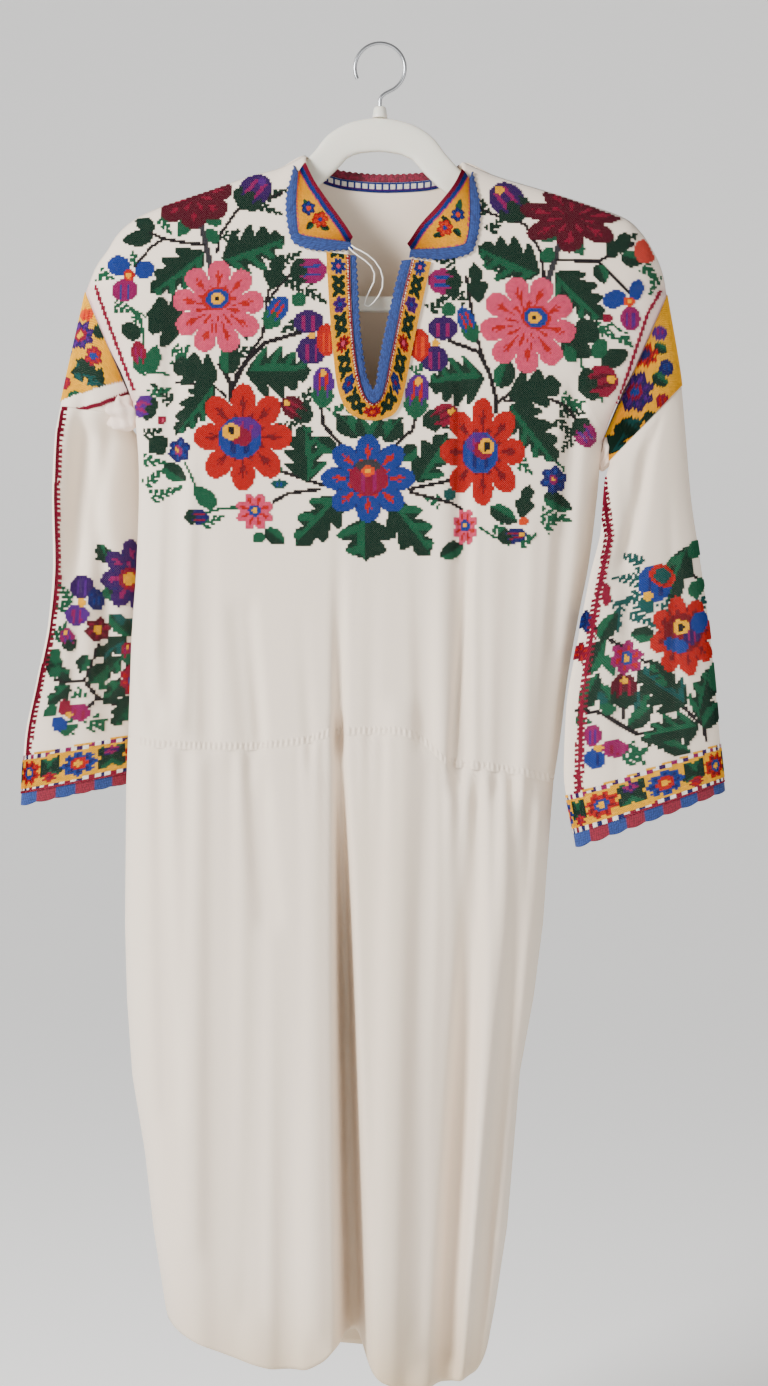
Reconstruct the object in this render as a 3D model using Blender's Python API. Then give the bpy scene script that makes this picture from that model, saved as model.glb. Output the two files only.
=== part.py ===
"""Long linen folk dress on a moulded hanger, hanging from the hook with its front towards -Y.

The dress is built from the pieces that a maker cuts: a front and a back body panel, a front and a back
skirt panel gathered into the waist seam, two sleeves with shoulder bands, gussets and cuff edgings, a
turned-down collar with crocheted trims, and a slit with its band and edging. Tables are in millimetres,
x to the right and z up from the point where the hook is held.
"""

import math

import bmesh
import bpy
import numpy as np

MM = 0.001

# Driving dimensions
CLOTH = 1.5
SEAM_GAP = 0.3
ARMHOLE_HALF_DEPTH = 18.0
SHOULDER_ROUNDING = 45.0
BODY_FLATNESS = 8.0
NECK_LEFT = (-71.0, -104.5)
NECK_RIGHT = (79.0, -111.0)
SLIT_FOOT = (-5.9, -345.1)
CENTRE_AT_WAIST = (-38.5, -651.0)
SLIT_FOOT_SHARE = 0.46
TRIM_THICKNESS = 2.0
NECK_EDGING_HEIGHT = 8.5
WAIST_LEFT_Z = -656.0
WAIST_RIGHT_Z = -698.0
HANGER_HALF_THICKNESS = 5.0
HANGER_TILT = 0.025
KNOB_BASE, KNOB_TOP = -69.5, -59.0
KNOB_BASE_RADIUS, KNOB_TOP_RADIUS = 7.0, 5.2
HOOK_WIRE = 3.5
HOOK_RADIUS = 23.75
LOOP_CORD = 1.3

# How finely the cloth is divided, and the rows of the body panels as shares of their height
PANEL_COLUMNS = 24
BACK_COLUMNS = 35
SKIRT_ROWS = 11
RING_POINTS = 18
SLEEVE_SECTIONS = 11
HANGER_STATIONS = 48
BORDER_STEPS = 401
FRONT_LEVELS_ABOVE_FOOT = [0.0, 0.009, 0.03, 0.065, 0.11, 0.15, 0.2, 0.25, 0.31, 0.37, 0.42, 0.4445]
FRONT_LEVELS_BELOW_FOOT = [SLIT_FOOT_SHARE, 0.54, 0.63, 0.72, 0.81, 0.91, 1.0]
BACK_LEVELS = [0.0, 0.009, 0.03, 0.065, 0.11, 0.17, 0.24, 0.32, 0.42, 0.54, 0.66, 0.78, 0.9, 1.0]
FIRST_SLIT_ROW = 6

# Side outline of the body and skirt: height, left edge, right edge
OUTLINE_LEFT = [
    # z, x
    (-104.5, -71.0), (-117.0, -96.0), (-124.0, -122.0), (-138.0, -162.0), (-152.0, -204.0),
    (-166.0, -234.0), (-180.5, -250.0), (-195.0, -259.0), (-209.0, -269.0), (-233.0, -279.0),
    (-286.0, -257.0), (-339.0, -235.0), (-413.0, -229.0), (-489.0, -231.0), (-565.0, -236.0),
    (-656.0, -239.0), (-708.0, -241.0), (-836.0, -242.0), (-907.0, -240.0), (-978.0, -235.0),
    (-1050.0, -223.0), (-1121.0, -215.0), (-1192.0, -204.0), (-1245.0, -195.0), (-1280.0, -190.0),
]
OUTLINE_RIGHT = [
    # z, x
    (-111.0, 79.0), (-124.0, 109.0), (-138.0, 155.0), (-152.0, 198.5), (-166.0, 235.0),
    (-180.5, 250.0), (-195.0, 259.0), (-209.0, 266.0), (-223.0, 270.0), (-236.0, 272.0),
    (-305.0, 242.0), (-375.0, 212.0), (-432.0, 206.0), (-489.0, 199.0), (-546.0, 188.0),
    (-603.0, 178.0), (-660.0, 171.0), (-699.0, 165.0), (-765.0, 160.0), (-836.0, 155.0),
    (-907.0, 146.0), (-978.0, 133.0), (-1050.0, 127.0), (-1121.0, 121.0), (-1192.0, 110.0),
    (-1262.0, 97.0), (-1290.0, 93.0),
]
TIP_LEFT_ROW, UNDERARM_LEFT_ROW = 9, 11
TIP_RIGHT_ROW, UNDERARM_RIGHT_ROW = 9, 11

# How far the front and the back stand from the middle plane, by height
FULLNESS = [
    # z, front, back
    (-104.0, 33.0, 30.0), (-340.0, 36.0, 33.0), (-500.0, 38.0, 36.0), (-656.0, 40.0, 38.0),
    (-900.0, 50.0, 46.0), (-1290.0, 58.0, 54.0),
]

WAIST_SEAM = [
    # x, z
    (-245.0, -656.0), (-204.0, -663.0), (-131.0, -665.0), (-75.0, -660.0), (-38.5, -651.0),
    (11.0, -650.0), (35.0, -656.0), (66.0, -680.0), (103.0, -684.0), (128.0, -688.0), (175.0, -699.0),
]
FRONT_HEM = [
    # x, z
    (-206.0, -1190.0), (-199.0, -1203.0), (-180.0, -1215.0), (-146.0, -1229.0), (-118.0, -1238.0),
    (-92.0, -1243.0), (-72.0, -1243.0), (-54.0, -1236.0), (-38.0, -1223.0), (-24.0, -1222.0),
    (-14.0, -1237.0), (-6.0, -1246.0), (2.0, -1252.0), (20.0, -1258.0), (60.0, -1260.0), (88.0, -1254.0),
    (100.0, -1236.0), (106.0, -1215.0),
]
BACK_HEM = [
    # x, z
    (-206.0, -1190.0), (-199.0, -1203.0), (-180.0, -1215.0), (-146.0, -1229.0), (-92.0, -1241.0),
    (0.0, -1250.0), (60.0, -1256.0), (88.0, -1250.0), (100.0, -1236.0), (106.0, -1215.0),
]

NECKLINE_LEFT = [NECK_LEFT, (-65.3, -139.7), (-50.4, -167.2), (-35.5, -189.3), (-28.4, -205.3)]
NECKLINE_RIGHT = [NECK_RIGHT, (74.1, -136.2), (64.4, -152.8), (50.5, -167.1), (37.6, -187.3), (30.2, -209.3)]
SLIT_LEFT = [
    (-28.4, -205.3), (-27.5, -241.2), (-25.6, -274.9), (-22.4, -304.6), (-18.2, -326.4), (-12.7, -340.2),
]
SLIT_RIGHT = [(30.2, -209.3), (22.3, -241.2), (15.8, -274.9), (9.7, -304.6), (5.5, -326.4), (1.0, -340.2)]
BACK_NECKLINE = [
    NECK_LEFT, (-58.4, -116.6), (-30.3, -124.6), (5.0, -127.1), (40.3, -125.7), (68.4, -118.9), NECK_RIGHT,
]

# Long folds: a trough is pressed in by its depth, a ridge has a negative depth
FRONT_FOLDS = [
    # x_top, z_top, x_bottom, z_bottom, width_top, width_bottom, depth_top, depth_bottom, growth share
    (-193.0, -251.0, -197.0, -610.0, 10.0, 10.0, 4.0, 7.0, 1.0),
    (-130.0, -548.0, -104.0, -820.0, 12.0, 12.0, 3.0, 4.0, 1.0),
    (-38.0, -470.0, -38.5, -655.0, 6.0, 5.5, 1.0, 11.0, 1.0),
    (77.0, -334.0, 76.0, -690.0, 8.0, 9.0, 4.0, 9.0, 1.0),
    (183.0, -344.0, 152.0, -690.0, 9.0, 8.0, 6.0, 5.0, 1.0),
    (37.0, -480.0, 42.0, -650.0, 9.0, 9.0, 1.0, 5.0, 1.0),
    (-162.0, -480.0, -160.0, -650.0, 9.0, 9.0, 1.0, 4.0, 1.0),
    (124.0, -500.0, 116.0, -700.0, 12.0, 12.0, 2.0, 5.0, 1.0),
    (-38.5, -655.0, -23.5, -1262.0, 5.5, 12.5, 11.0, 66.0, 0.45),
    (19.0, -640.0, 5.0, -1262.0, 14.0, 14.0, -5.0, -8.0, 0.5),
    (92.0, -705.0, 62.0, -1262.0, 10.0, 13.0, 4.0, 24.0, 0.7),
    (138.0, -733.0, 86.0, -1262.0, 8.0, 9.0, 4.0, 20.0, 0.7),
    (-88.0, -790.0, -86.0, -1262.0, 10.0, 12.0, 0.0, 6.0, 1.0),
    (-150.0, -700.0, -142.0, -1262.0, 16.0, 20.0, 2.0, 6.0, 1.0),
]
BACK_FOLDS = [
    # x_top, z_top, x_bottom, z_bottom, width_top, width_bottom, depth_top, depth_bottom, growth share
    (-150.0, -260.0, -160.0, -640.0, 10.0, 12.0, 3.0, 7.0, 1.0),
    (-60.0, -380.0, -70.0, -660.0, 12.0, 12.0, 2.0, 6.0, 1.0),
    (25.0, -330.0, 20.0, -670.0, 10.0, 10.0, 3.0, 8.0, 1.0),
    (120.0, -300.0, 110.0, -680.0, 10.0, 12.0, 4.0, 6.0, 1.0),
    (-170.0, -690.0, -140.0, -1262.0, 10.0, 12.0, 4.0, 20.0, 0.7),
    (-95.0, -700.0, -85.0, -1262.0, 8.0, 11.0, 3.0, 14.0, 0.7),
    (40.0, -690.0, 28.0, -1262.0, 9.0, 12.0, 6.0, 24.0, 0.7),
    (105.0, -720.0, 70.0, -1262.0, 8.0, 10.0, 4.0, 16.0, 0.7),
]
FOLD_FADE = 30.0
FRONT_FOLD_AT_HEM = -23.5
BACK_FOLD_AT_HEM = 12.0

# Gathers under the waist seam
FRONT_GATHERS = [
    # x_start, x_end, pitch, depth, length
    (-222.0, -165.0, 27.0, 2.6, 55.0),
    (-150.0, -110.0, 20.0, 1.6, 50.0),
    (-80.0, 20.0, 12.5, 1.1, 22.0),
    (48.0, 150.0, 17.0, 3.2, 60.0),
]
BACK_GATHERS = [
    # x_start, x_end, pitch, depth, length
    (-210.0, -60.0, 22.0, 2.4, 50.0),
    (-40.0, 140.0, 19.0, 2.6, 55.0),
]

# Sleeve sections from the armhole to the wrist: the outer end, the inner end and half the depth
SLEEVE_LEFT = [
    # outer x, y, z, inner x, y, z, half depth
    (-279.0, 0.0, -233.0, -235.0, 0.0, -339.0, 18.0),
    (-304.0, 2.0, -344.0, -243.0, 7.0, -352.0, 17.0),
    (-310.0, 6.0, -375.0, -227.0, 33.0, -381.0, 15.0),
    (-313.0, 10.0, -432.0, -220.0, 46.0, -437.0, 14.0),
    (-312.0, 10.0, -489.0, -214.0, 50.0, -491.0, 14.0),
    (-316.0, 8.0, -546.0, -209.0, 52.0, -544.0, 15.0),
    (-327.0, 6.0, -603.0, -205.0, 54.0, -596.0, 16.0),
    (-338.0, 4.0, -660.0, -201.0, 57.0, -643.0, 17.0),
    (-341.0, 2.0, -711.0, -198.0, 58.0, -684.0, 18.0),
]
SLEEVE_RIGHT = [
    # outer x, y, z, inner x, y, z, half depth
    (272.0, 0.0, -236.0, 212.0, 0.0, -375.0, 18.0),
    (286.0, -3.0, -324.0, 217.0, -12.0, -396.0, 17.0),
    (289.0, -8.0, -367.0, 212.0, -24.0, -415.0, 15.0),
    (294.0, -12.0, -432.0, 207.0, -32.0, -462.0, 14.0),
    (301.0, -14.0, -482.0, 196.0, -34.0, -508.0, 14.0),
    (309.0, -14.0, -539.0, 185.0, -34.0, -566.0, 15.0),
    (316.0, -14.0, -603.0, 174.0, -34.0, -632.0, 16.0),
    (321.0, -14.0, -660.0, 172.0, -33.0, -689.0, 17.0),
    (325.0, -14.0, -699.0, 181.0, -32.0, -747.0, 18.0),
]
BAND_SECTION = 1.0
SLEEVE_FOLDS_LEFT = [
    # share across the front at the top and bottom, first and last section, half width, depth
    (0.35, 0.60, 1.2, 7.6, 0.09, 7.0),
    (0.75, 0.30, 1.0, 4.0, 0.08, 4.0),
]
SLEEVE_FOLDS_RIGHT = [
    # share across the front at the top and bottom, first and last section, half width, depth
    (0.45, 0.80, 1.2, 4.6, 0.09, 7.0),
    (0.80, 0.45, 1.6, 7.8, 0.08, 4.0),
]

# The trims of the slit, from the left end of the neck down round the foot and up to the right end
SLIT_BAND_OUTER = [
    # x, z
    (-50.3, -202.4), (-47.3, -255.1), (-43.3, -302.6), (-40.3, -326.4), (-35.4, -343.2), (-24.6, -356.5),
    (-5.9, -360.9), (9.9, -357.0), (18.3, -347.1), (24.2, -325.4), (30.6, -291.7), (38.5, -255.1),
    (47.9, -211.8),
]
SLIT_EDGING_INNER = [
    # x, z
    (-21.7, -205.3), (-19.7, -241.2), (-18.2, -270.9), (-14.7, -300.6), (-12.3, -316.5), (-9.3, -325.4),
    (-5.9, -330.3), (-3.7, -322.4), (-1.9, -308.6), (1.5, -289.8), (6.0, -268.0), (12.9, -237.2),
    (19.8, -210.3),
]

# Collar wings, each from its neck side to its outer side and on to its crocheted edge, in x and z
COLLAR_LEFT_NECK = [(-70.5, -116.7), (-61.3, -135.1), (-46.9, -156.7), (-30.5, -179.9), (-25.6, -188.4)]
COLLAR_LEFT_OUTER = [(-76.3, -126.3), (-78.0, -155.5), (-75.9, -183.9), (-51.2, -189.9), (-27.6, -192.9)]
COLLAR_LEFT_EDGE = [(-80.4, -119.3), (-87.9, -157.4), (-81.8, -191.8), (-54.2, -200.9), (-25.1, -199.9)]
COLLAR_RIGHT_NECK = [(77.5, -122.6), (70.3, -136.8), (55.4, -156.5), (37.6, -176.8), (25.7, -194.9)]
COLLAR_RIGHT_OUTER = [(83.3, -132.3), (84.0, -162.5), (79.9, -193.8), (55.3, -198.8), (28.6, -199.9)]
COLLAR_RIGHT_EDGE = [(86.9, -125.4), (93.9, -163.4), (85.9, -201.8), (56.2, -209.3), (27.2, -206.8)]
COLLAR_LIFT = 2.8

LOOP_PATH = [
    # x, y, z
    (-26.6, -31.6, -196.5), (-25.7, -33.5, -197.5), (-23.1, -36.0, -199.9), (-18.1, -37.0, -202.4),
    (-11.7, -36.5, -205.9), (-4.9, -34.5, -211.4), (0.5, -31.5, -218.8), (2.7, -28.5, -226.6),
    (2.3, -25.5, -234.5), (-1.0, -22.8, -241.9), (-5.9, -20.8, -248.0), (-10.9, -19.9, -251.8),
    (-14.6, -19.7, -249.8), (-13.4, -20.2, -243.9), (-9.4, -22.3, -236.4), (-5.7, -25.3, -229.5),
    (-5.1, -28.5, -222.2), (-8.3, -31.5, -215.8), (-14.2, -34.5, -210.9), (-20.6, -36.0, -206.8),
    (-25.5, -35.5, -203.0), (-28.3, -33.5, -199.9), (-29.1, -31.7, -198.6),
]

# Right half of the hanger's frame, from the top of the arch round to the middle of the bar
HANGER_FRAME = [
    # x, z, half height
    (0.0, -85.5, 16.0), (20.0, -88.0, 15.5), (38.0, -96.0, 14.5), (54.0, -113.6, 13.5), (76.0, -132.5, 12.5),
    (100.0, -139.5, 12.0), (130.0, -146.0, 11.5), (165.0, -158.0, 11.0), (195.0, -170.5, 10.5),
    (213.0, -184.0, 9.5), (221.0, -199.0, 8.5), (220.0, -216.0, 7.5), (211.0, -234.0, 7.5),
    (193.0, -244.0, 7.5), (160.0, -246.5, 7.5), (80.0, -246.5, 7.5), (0.0, -246.5, 7.5),
]


def columns(table):
    """The columns of a table as numpy arrays."""
    return [np.array(column, float) for column in zip(*table)]


def smooth(knots, values, at):
    """A curve through the values at the knots: cubic Hermite pieces whose slope at a knot is the harmonic
    mean of the two steps beside it, and none where the values turn."""
    knots, values, at = (np.asarray(a, float) for a in (knots, values, at))
    if knots[0] > knots[-1]:
        knots, values = knots[::-1], values[::-1]
    steps = np.diff(values) / np.diff(knots)
    means = 2 * steps[:-1] * steps[1:] / (steps[:-1] + steps[1:] + 1e-12)
    slopes = np.concatenate([steps[:1], means, steps[-1:]])
    turning = np.concatenate([[False], steps[:-1] * steps[1:] <= 0, [False]])
    slopes[turning] = 0.0
    at = np.clip(at, knots[0], knots[-1])
    i = np.clip(np.searchsorted(knots, at) - 1, 0, len(knots) - 2)
    width = knots[i + 1] - knots[i]
    t = (at - knots[i]) / width
    return (
        values[i] * (1 + 2 * t) * (1 - t) ** 2
        + slopes[i] * width * t * (1 - t) ** 2
        + values[i + 1] * t * t * (3 - 2 * t)
        + slopes[i + 1] * width * t * t * (t - 1)
    )


def along(path, share):
    """Points at shares 0 to 1 of a path's length, on a smooth curve through its points."""
    path = np.array(path, float)
    length = np.concatenate([[0.0], np.cumsum(np.linalg.norm(np.diff(path, axis=0), axis=1))])
    return np.stack([smooth(length / length[-1], path[:, k], share) for k in range(path.shape[1])], -1)


def left_edge(z):
    heights, x = columns(OUTLINE_LEFT)
    return np.interp(z, heights[::-1], x[::-1])


def right_edge(z):
    heights, x = columns(OUTLINE_RIGHT)
    return np.interp(z, heights[::-1], x[::-1])


def shoulder_height(x):
    """Height of the shoulder line over x, straight across the neck."""
    left = OUTLINE_LEFT[: TIP_LEFT_ROW + 1][::-1]
    right = OUTLINE_RIGHT[: TIP_RIGHT_ROW + 1]
    heights, edge = columns(left + right)
    return np.interp(x, edge, heights)


def armhole_half_depth(z, outline, tip_row, underarm_row):
    """Half the opening between front and back along the armhole, an ellipse from tip to underarm."""
    tip, underarm = outline[tip_row][0], outline[underarm_row][0]
    share = np.clip((z - tip) / (underarm - tip), 0.0, 1.0)
    return ARMHOLE_HALF_DEPTH * 2 * np.sqrt(share * (1 - share))


def across(x, z):
    """Share of the way from side to side, measured between the shoulder tips above the armholes."""
    left = left_edge(np.minimum(z, OUTLINE_LEFT[TIP_LEFT_ROW][0]))
    right = right_edge(np.minimum(z, OUTLINE_RIGHT[TIP_RIGHT_ROW][0]))
    return np.clip((x - left) / (right - left), 0.0, 1.0)


def side_rounding(x, z):
    """0 at the side edges, 1 over the middle, like a flattened tube."""
    return np.sqrt(1 - np.abs(2 * across(x, z) - 1) ** BODY_FLATNESS)


def half_depth(x, z, full):
    """How far the cloth stands from the middle plane, without folds."""
    left = armhole_half_depth(z, OUTLINE_LEFT, TIP_LEFT_ROW, UNDERARM_LEFT_ROW)
    right = armhole_half_depth(z, OUTLINE_RIGHT, TIP_RIGHT_ROW, UNDERARM_RIGHT_ROW)
    edge = np.where(across(x, z) < 0.5, left, right)
    below = np.maximum(shoulder_height(x) - z, 0.0)
    middle = full * np.sqrt(below / (below + SHOULDER_ROUNDING))
    rounding = side_rounding(x, z)
    return edge * (1 - rounding) + middle * rounding


def folds(table, x, z):
    """Sum of the long folds: each is a flat-bottomed groove along a straight line, fading at its ends."""
    total = np.zeros(np.broadcast(x, z).shape)
    for x_top, z_top, x_bottom, z_bottom, width_top, width_bottom, depth_top, depth_bottom, growth in table:
        share = (z_top - z) / (z_top - z_bottom)
        inside = np.clip(share, 0.0, 1.0)
        grown = np.clip(inside / growth, 0.0, 1.0)
        depth = depth_top + (depth_bottom - depth_top) * grown * grown * (3 - 2 * grown)
        width = width_top + (width_bottom - width_top) * inside
        beyond = np.maximum(z - z_top, z_bottom - z)
        fade = np.clip(1 - beyond / FOLD_FADE, 0.0, 1.0)
        offset = (x - x_top - (x_bottom - x_top) * inside) / width
        total = total + depth * fade * fade * (3 - 2 * fade) * np.exp(-np.abs(offset) ** 3)
    return total


def gathers(table, x, drop):
    """Small waves that start at the seam and die out below it."""
    total = np.zeros(np.broadcast(x, drop).shape)
    for x_start, x_end, pitch, depth, length in table:
        window = np.clip((x - x_start) / pitch, 0, 1) * np.clip((x_end - x) / pitch, 0, 1)
        wave = np.cos(2 * math.pi * (x - x_start) / pitch)
        total = total + depth * window * wave * np.exp(-np.maximum(drop, 0.0) / length)
    return total


def front_y(x, z):
    full = np.interp(z, *[c[::-1] for c in columns(FULLNESS)[:2]])
    return -half_depth(x, z, full) + folds(FRONT_FOLDS, x, z) * side_rounding(x, z) - SEAM_GAP / 2


def back_y(x, z):
    heights, _, full = columns(FULLNESS)
    full = np.interp(z, heights[::-1], full[::-1])
    return half_depth(x, z, full) - folds(BACK_FOLDS, x, z) * side_rounding(x, z) + SEAM_GAP / 2


def waist(x):
    knots, heights = columns(WAIST_SEAM)
    return smooth(knots, heights, x)


def hem(x, facing):
    knots, heights = columns(FRONT_HEM if facing < 0 else BACK_HEM)
    return smooth(knots, heights, x)


def even_steps(points, count):
    """The curve through the points, cut into equal lengths."""
    length = np.concatenate([[0.0], np.cumsum(np.linalg.norm(np.diff(points, axis=0), axis=1))])
    at = np.linspace(0, length[-1], count)
    return np.stack([np.interp(at, length, points[:, k]) for k in range(3)], -1)


def coons(left, right, top, bottom, u, v):
    """Blend of four border curves of a panel, in x and z: a Coons patch."""
    corners = (
        (1 - u) * (1 - v) * top[0] + u * (1 - v) * top[-1] + (1 - u) * v * bottom[0] + u * v * bottom[-1]
    )
    share = np.linspace(0, 1, len(top))
    at_top = np.stack([np.interp(u[..., 0], share, top[:, k]) for k in (0, 1)], -1)
    at_bottom = np.stack([np.interp(u[..., 0], share, bottom[:, k]) for k in (0, 1)], -1)
    at_left = np.stack([np.interp(v[..., 0], share, left[:, k]) for k in (0, 1)], -1)
    at_right = np.stack([np.interp(v[..., 0], share, right[:, k]) for k in (0, 1)], -1)
    return (1 - v) * at_top + v * at_bottom + (1 - u) * at_left + u * at_right - corners


def panel_rows(left, right, top, bottom, v_levels, surface, count):
    """Rows of points down a panel. Each row is spaced evenly along the cloth, folds and all."""
    fine = np.linspace(0, 1, 321)
    rows = []
    for v in v_levels:
        flat = coons(left, right, top, bottom, fine[:, None], np.full((321, 1), v))
        y = surface(flat[:, 0], flat[:, 1])
        rows.append(even_steps(np.stack([flat[:, 0], y, flat[:, 1]], -1), count))
    return np.array(rows)


def border(path):
    """A panel's border as evenly spaced points."""
    return along(path, np.linspace(0, 1, BORDER_STEPS))


def border_through(upper, lower, share):
    """A border that reaches its middle point at the given share of the panel's height."""
    upper_steps = int(round(BORDER_STEPS * share))
    upper_points = along(upper, np.linspace(0, 1, upper_steps))
    lower_points = along(lower, np.linspace(0, 1, BORDER_STEPS - upper_steps + 1))
    return np.concatenate([upper_points, lower_points[1:]])


def grid_faces(rows, cols, closed=False):
    """Quads of a grid of points. They face away from +Y when the grid is laid left to right and down."""
    last = cols if closed else cols - 1
    i, j = np.meshgrid(np.arange(rows - 1), np.arange(last), indexing="ij")
    a, b = i * cols + j, i * cols + (j + 1) % cols
    return np.stack([a, a + cols, b + cols, b], -1).reshape(-1, 4)


def weld(points, faces):
    """Points that coincide made one."""
    _, first, index = np.unique(np.round(points, 4), axis=0, return_index=True, return_inverse=True)
    return points[first], index.reshape(-1)[faces], first


def vertex_normals(points, faces):
    """Area-weighted normals of the faces round each point."""
    diagonals = np.cross(points[faces[:, 2]] - points[faces[:, 0]], points[faces[:, 3]] - points[faces[:, 1]])
    normals = np.zeros_like(points)
    for corner in range(4):
        np.add.at(normals, faces[:, corner], diagonals)
    return normals / np.maximum(np.linalg.norm(normals, axis=1, keepdims=True), 1e-9)


def open_edges(faces):
    """The directed edges that only one face has."""
    edges = np.concatenate([faces[:, [k, (k + 1) % 4]] for k in range(4)])
    seen = {(int(a), int(b)) for a, b in edges}
    return [(a, b) for a, b in seen if (b, a) not in seen]


def cloth_wall(name, points, faces, seam_axes, thickness, material):
    """A closed wall: the outer face through the points and an inner face moved in along the normals.
    At a seam the normal's part along the seam's axis is dropped, so that neighbours meet face to face."""
    points, faces, kept = weld(np.asarray(points, float), np.asarray(faces))
    axes = np.asarray(seam_axes, float)[kept]
    normals = vertex_normals(points, faces)
    normals = normals - axes * np.sum(normals * axes, axis=1, keepdims=True)
    normals = normals / np.maximum(np.linalg.norm(normals, axis=1, keepdims=True), 1e-9)
    inner = points - normals * thickness
    count = len(points)
    rims = [(b, a, a + count, b + count) for a, b in open_edges(faces)]
    quads = [tuple(map(int, f)) for f in faces]
    quads += [tuple(int(k) + count for k in f[::-1]) for f in faces]
    return add_mesh(name, np.concatenate([points, inner]), quads + rims, material)


def add_mesh(name, points, faces, material):
    mesh = bpy.data.meshes.new(name)
    mesh.from_pydata([tuple(p) for p in np.asarray(points) * MM], [], [tuple(map(int, f)) for f in faces])
    mesh.validate()
    mesh.shade_smooth()
    mesh.set_sharp_from_angle(angle=math.radians(50))
    mesh.materials.append(material)
    obj = bpy.data.objects.new(name, mesh)
    bpy.data.collections["folk_dress"].objects.link(obj)
    return obj


def make_material(name, colour, roughness, metallic=0.0):
    material = bpy.data.materials.new(name)
    material.use_nodes = True
    shader = material.node_tree.nodes["Principled BSDF"]
    shader.inputs["Base Color"].default_value = (*colour, 1.0)
    shader.inputs["Roughness"].default_value = roughness
    shader.inputs["Metallic"].default_value = metallic
    return material


def normals_at(surface, x, z, sign):
    """Unit normals of a height surface y(x, z), pointing out of the dress."""
    step = 0.5
    slope_x = (surface(x + step, z) - surface(x - step, z)) / (2 * step)
    slope_z = (surface(x, z + step) - surface(x, z - step)) / (2 * step)
    normal = np.stack([-slope_x, np.ones_like(slope_x), -slope_z], -1) * sign
    return normal / np.linalg.norm(normal, axis=-1, keepdims=True)


def on_front(flat, lift):
    """Points of the x and z plane laid on the front panel and moved out by the lift."""
    x, z = flat[..., 0], flat[..., 1]
    base = np.stack([x, front_y(x, z), z], -1)
    return base + normals_at(front_y, x, z, -1.0) * np.asarray(lift)[..., None]


def armhole_rows(edge_points):
    """Which points of a side border lie on the armhole, between its two ends."""
    outline = OUTLINE_LEFT if edge_points[0, 0] < 0 else OUTLINE_RIGHT
    tip, underarm = outline[TIP_LEFT_ROW][0], outline[UNDERARM_LEFT_ROW][0]
    return (edge_points[:, 2] < tip - 1.0) & (edge_points[:, 2] > underarm + 1.0)


def armhole_axis(left):
    """Unit vector across the armhole seam, in the x and z plane, pointing down."""
    outline = OUTLINE_LEFT if left else OUTLINE_RIGHT
    (z_tip, x_tip), (z_underarm, x_underarm) = outline[TIP_LEFT_ROW], outline[UNDERARM_LEFT_ROW]
    run, drop = x_underarm - x_tip, z_underarm - z_tip
    axis = np.array([-drop, 0.0, run]) / math.hypot(run, drop)
    return -axis if axis[2] > 0 else axis


def across_seam(seam, x):
    """Unit vectors across a seam whose height over x is given, in the x and z plane."""
    slope = (seam(x + 0.5) - seam(x - 0.5)) / 1.0
    axis = np.stack([-slope, np.zeros_like(slope), np.ones_like(slope)], -1)
    return axis / np.linalg.norm(axis, axis=1, keepdims=True)


def seam_axes(rows, facing, side_columns, seam):
    """Puts the seam points of a body panel on the middle plane and gives the seam axis of every point."""
    axes = np.zeros(rows.shape)
    axes[-1, :] = across_seam(seam, rows[-1, :, 0])
    for column in side_columns:
        on_armhole = armhole_rows(rows[:, column])
        rows[~on_armhole, column, 1] = facing * SEAM_GAP / 2
        axes[:, column] = (0, 1, 0)
        axes[on_armhole, column] = armhole_axis(column == 0)
    on_shoulder = (rows[0, :, 0] <= NECK_LEFT[0] + 0.5) | (rows[0, :, 0] >= NECK_RIGHT[0] - 0.5)
    rows[0, on_shoulder, 1] = facing * SEAM_GAP / 2
    axes[0, on_shoulder] = (0, 1, 0)
    return axes


def body_borders():
    """Side and shoulder borders that the front and the back share."""
    waist_left = (float(left_edge(WAIST_LEFT_Z)), WAIST_LEFT_Z)
    waist_right = (float(right_edge(WAIST_RIGHT_Z)), WAIST_RIGHT_Z)
    side_left = [(x, z) for z, x in OUTLINE_LEFT[TIP_LEFT_ROW:15]] + [waist_left]
    side_right = [(x, z) for z, x in OUTLINE_RIGHT[TIP_RIGHT_ROW:17]] + [waist_right]
    shoulder_left = [(x, z) for z, x in OUTLINE_LEFT[: TIP_LEFT_ROW + 1][::-1]]
    shoulder_right = [(x, z) for z, x in OUTLINE_RIGHT[: TIP_RIGHT_ROW + 1]]
    return side_left, side_right, shoulder_left, shoulder_right


def front_grids():
    """The front body panel as two Coons patches that part at the slit and share the line below it."""
    levels = np.array(FRONT_LEVELS_ABOVE_FOOT + FRONT_LEVELS_BELOW_FOOT)
    side_left, side_right, shoulder_left, shoulder_right = body_borders()
    centre = [SLIT_FOOT, CENTRE_AT_WAIST]
    opening_left = border_through(NECKLINE_LEFT + SLIT_LEFT[1:] + [SLIT_FOOT], centre, SLIT_FOOT_SHARE)
    opening_right = border_through(NECKLINE_RIGHT + SLIT_RIGHT[1:] + [SLIT_FOOT], centre, SLIT_FOOT_SHARE)
    seam_left = waist_border(side_left[-1][0], CENTRE_AT_WAIST[0])
    seam_right = waist_border(CENTRE_AT_WAIST[0], side_right[-1][0])
    left = panel_rows(
        border(side_left), opening_left, border(shoulder_left), seam_left, levels, front_y, PANEL_COLUMNS
    )
    right = panel_rows(
        opening_right, border(side_right), border(shoulder_right), seam_right, levels, front_y, PANEL_COLUMNS
    )
    below = len(FRONT_LEVELS_ABOVE_FOOT)
    right[below:, 0] = left[below:, -1]
    for grid in (left, right):
        grid[-1, :, 2] = waist(grid[-1, :, 0])
    return left, right


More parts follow.
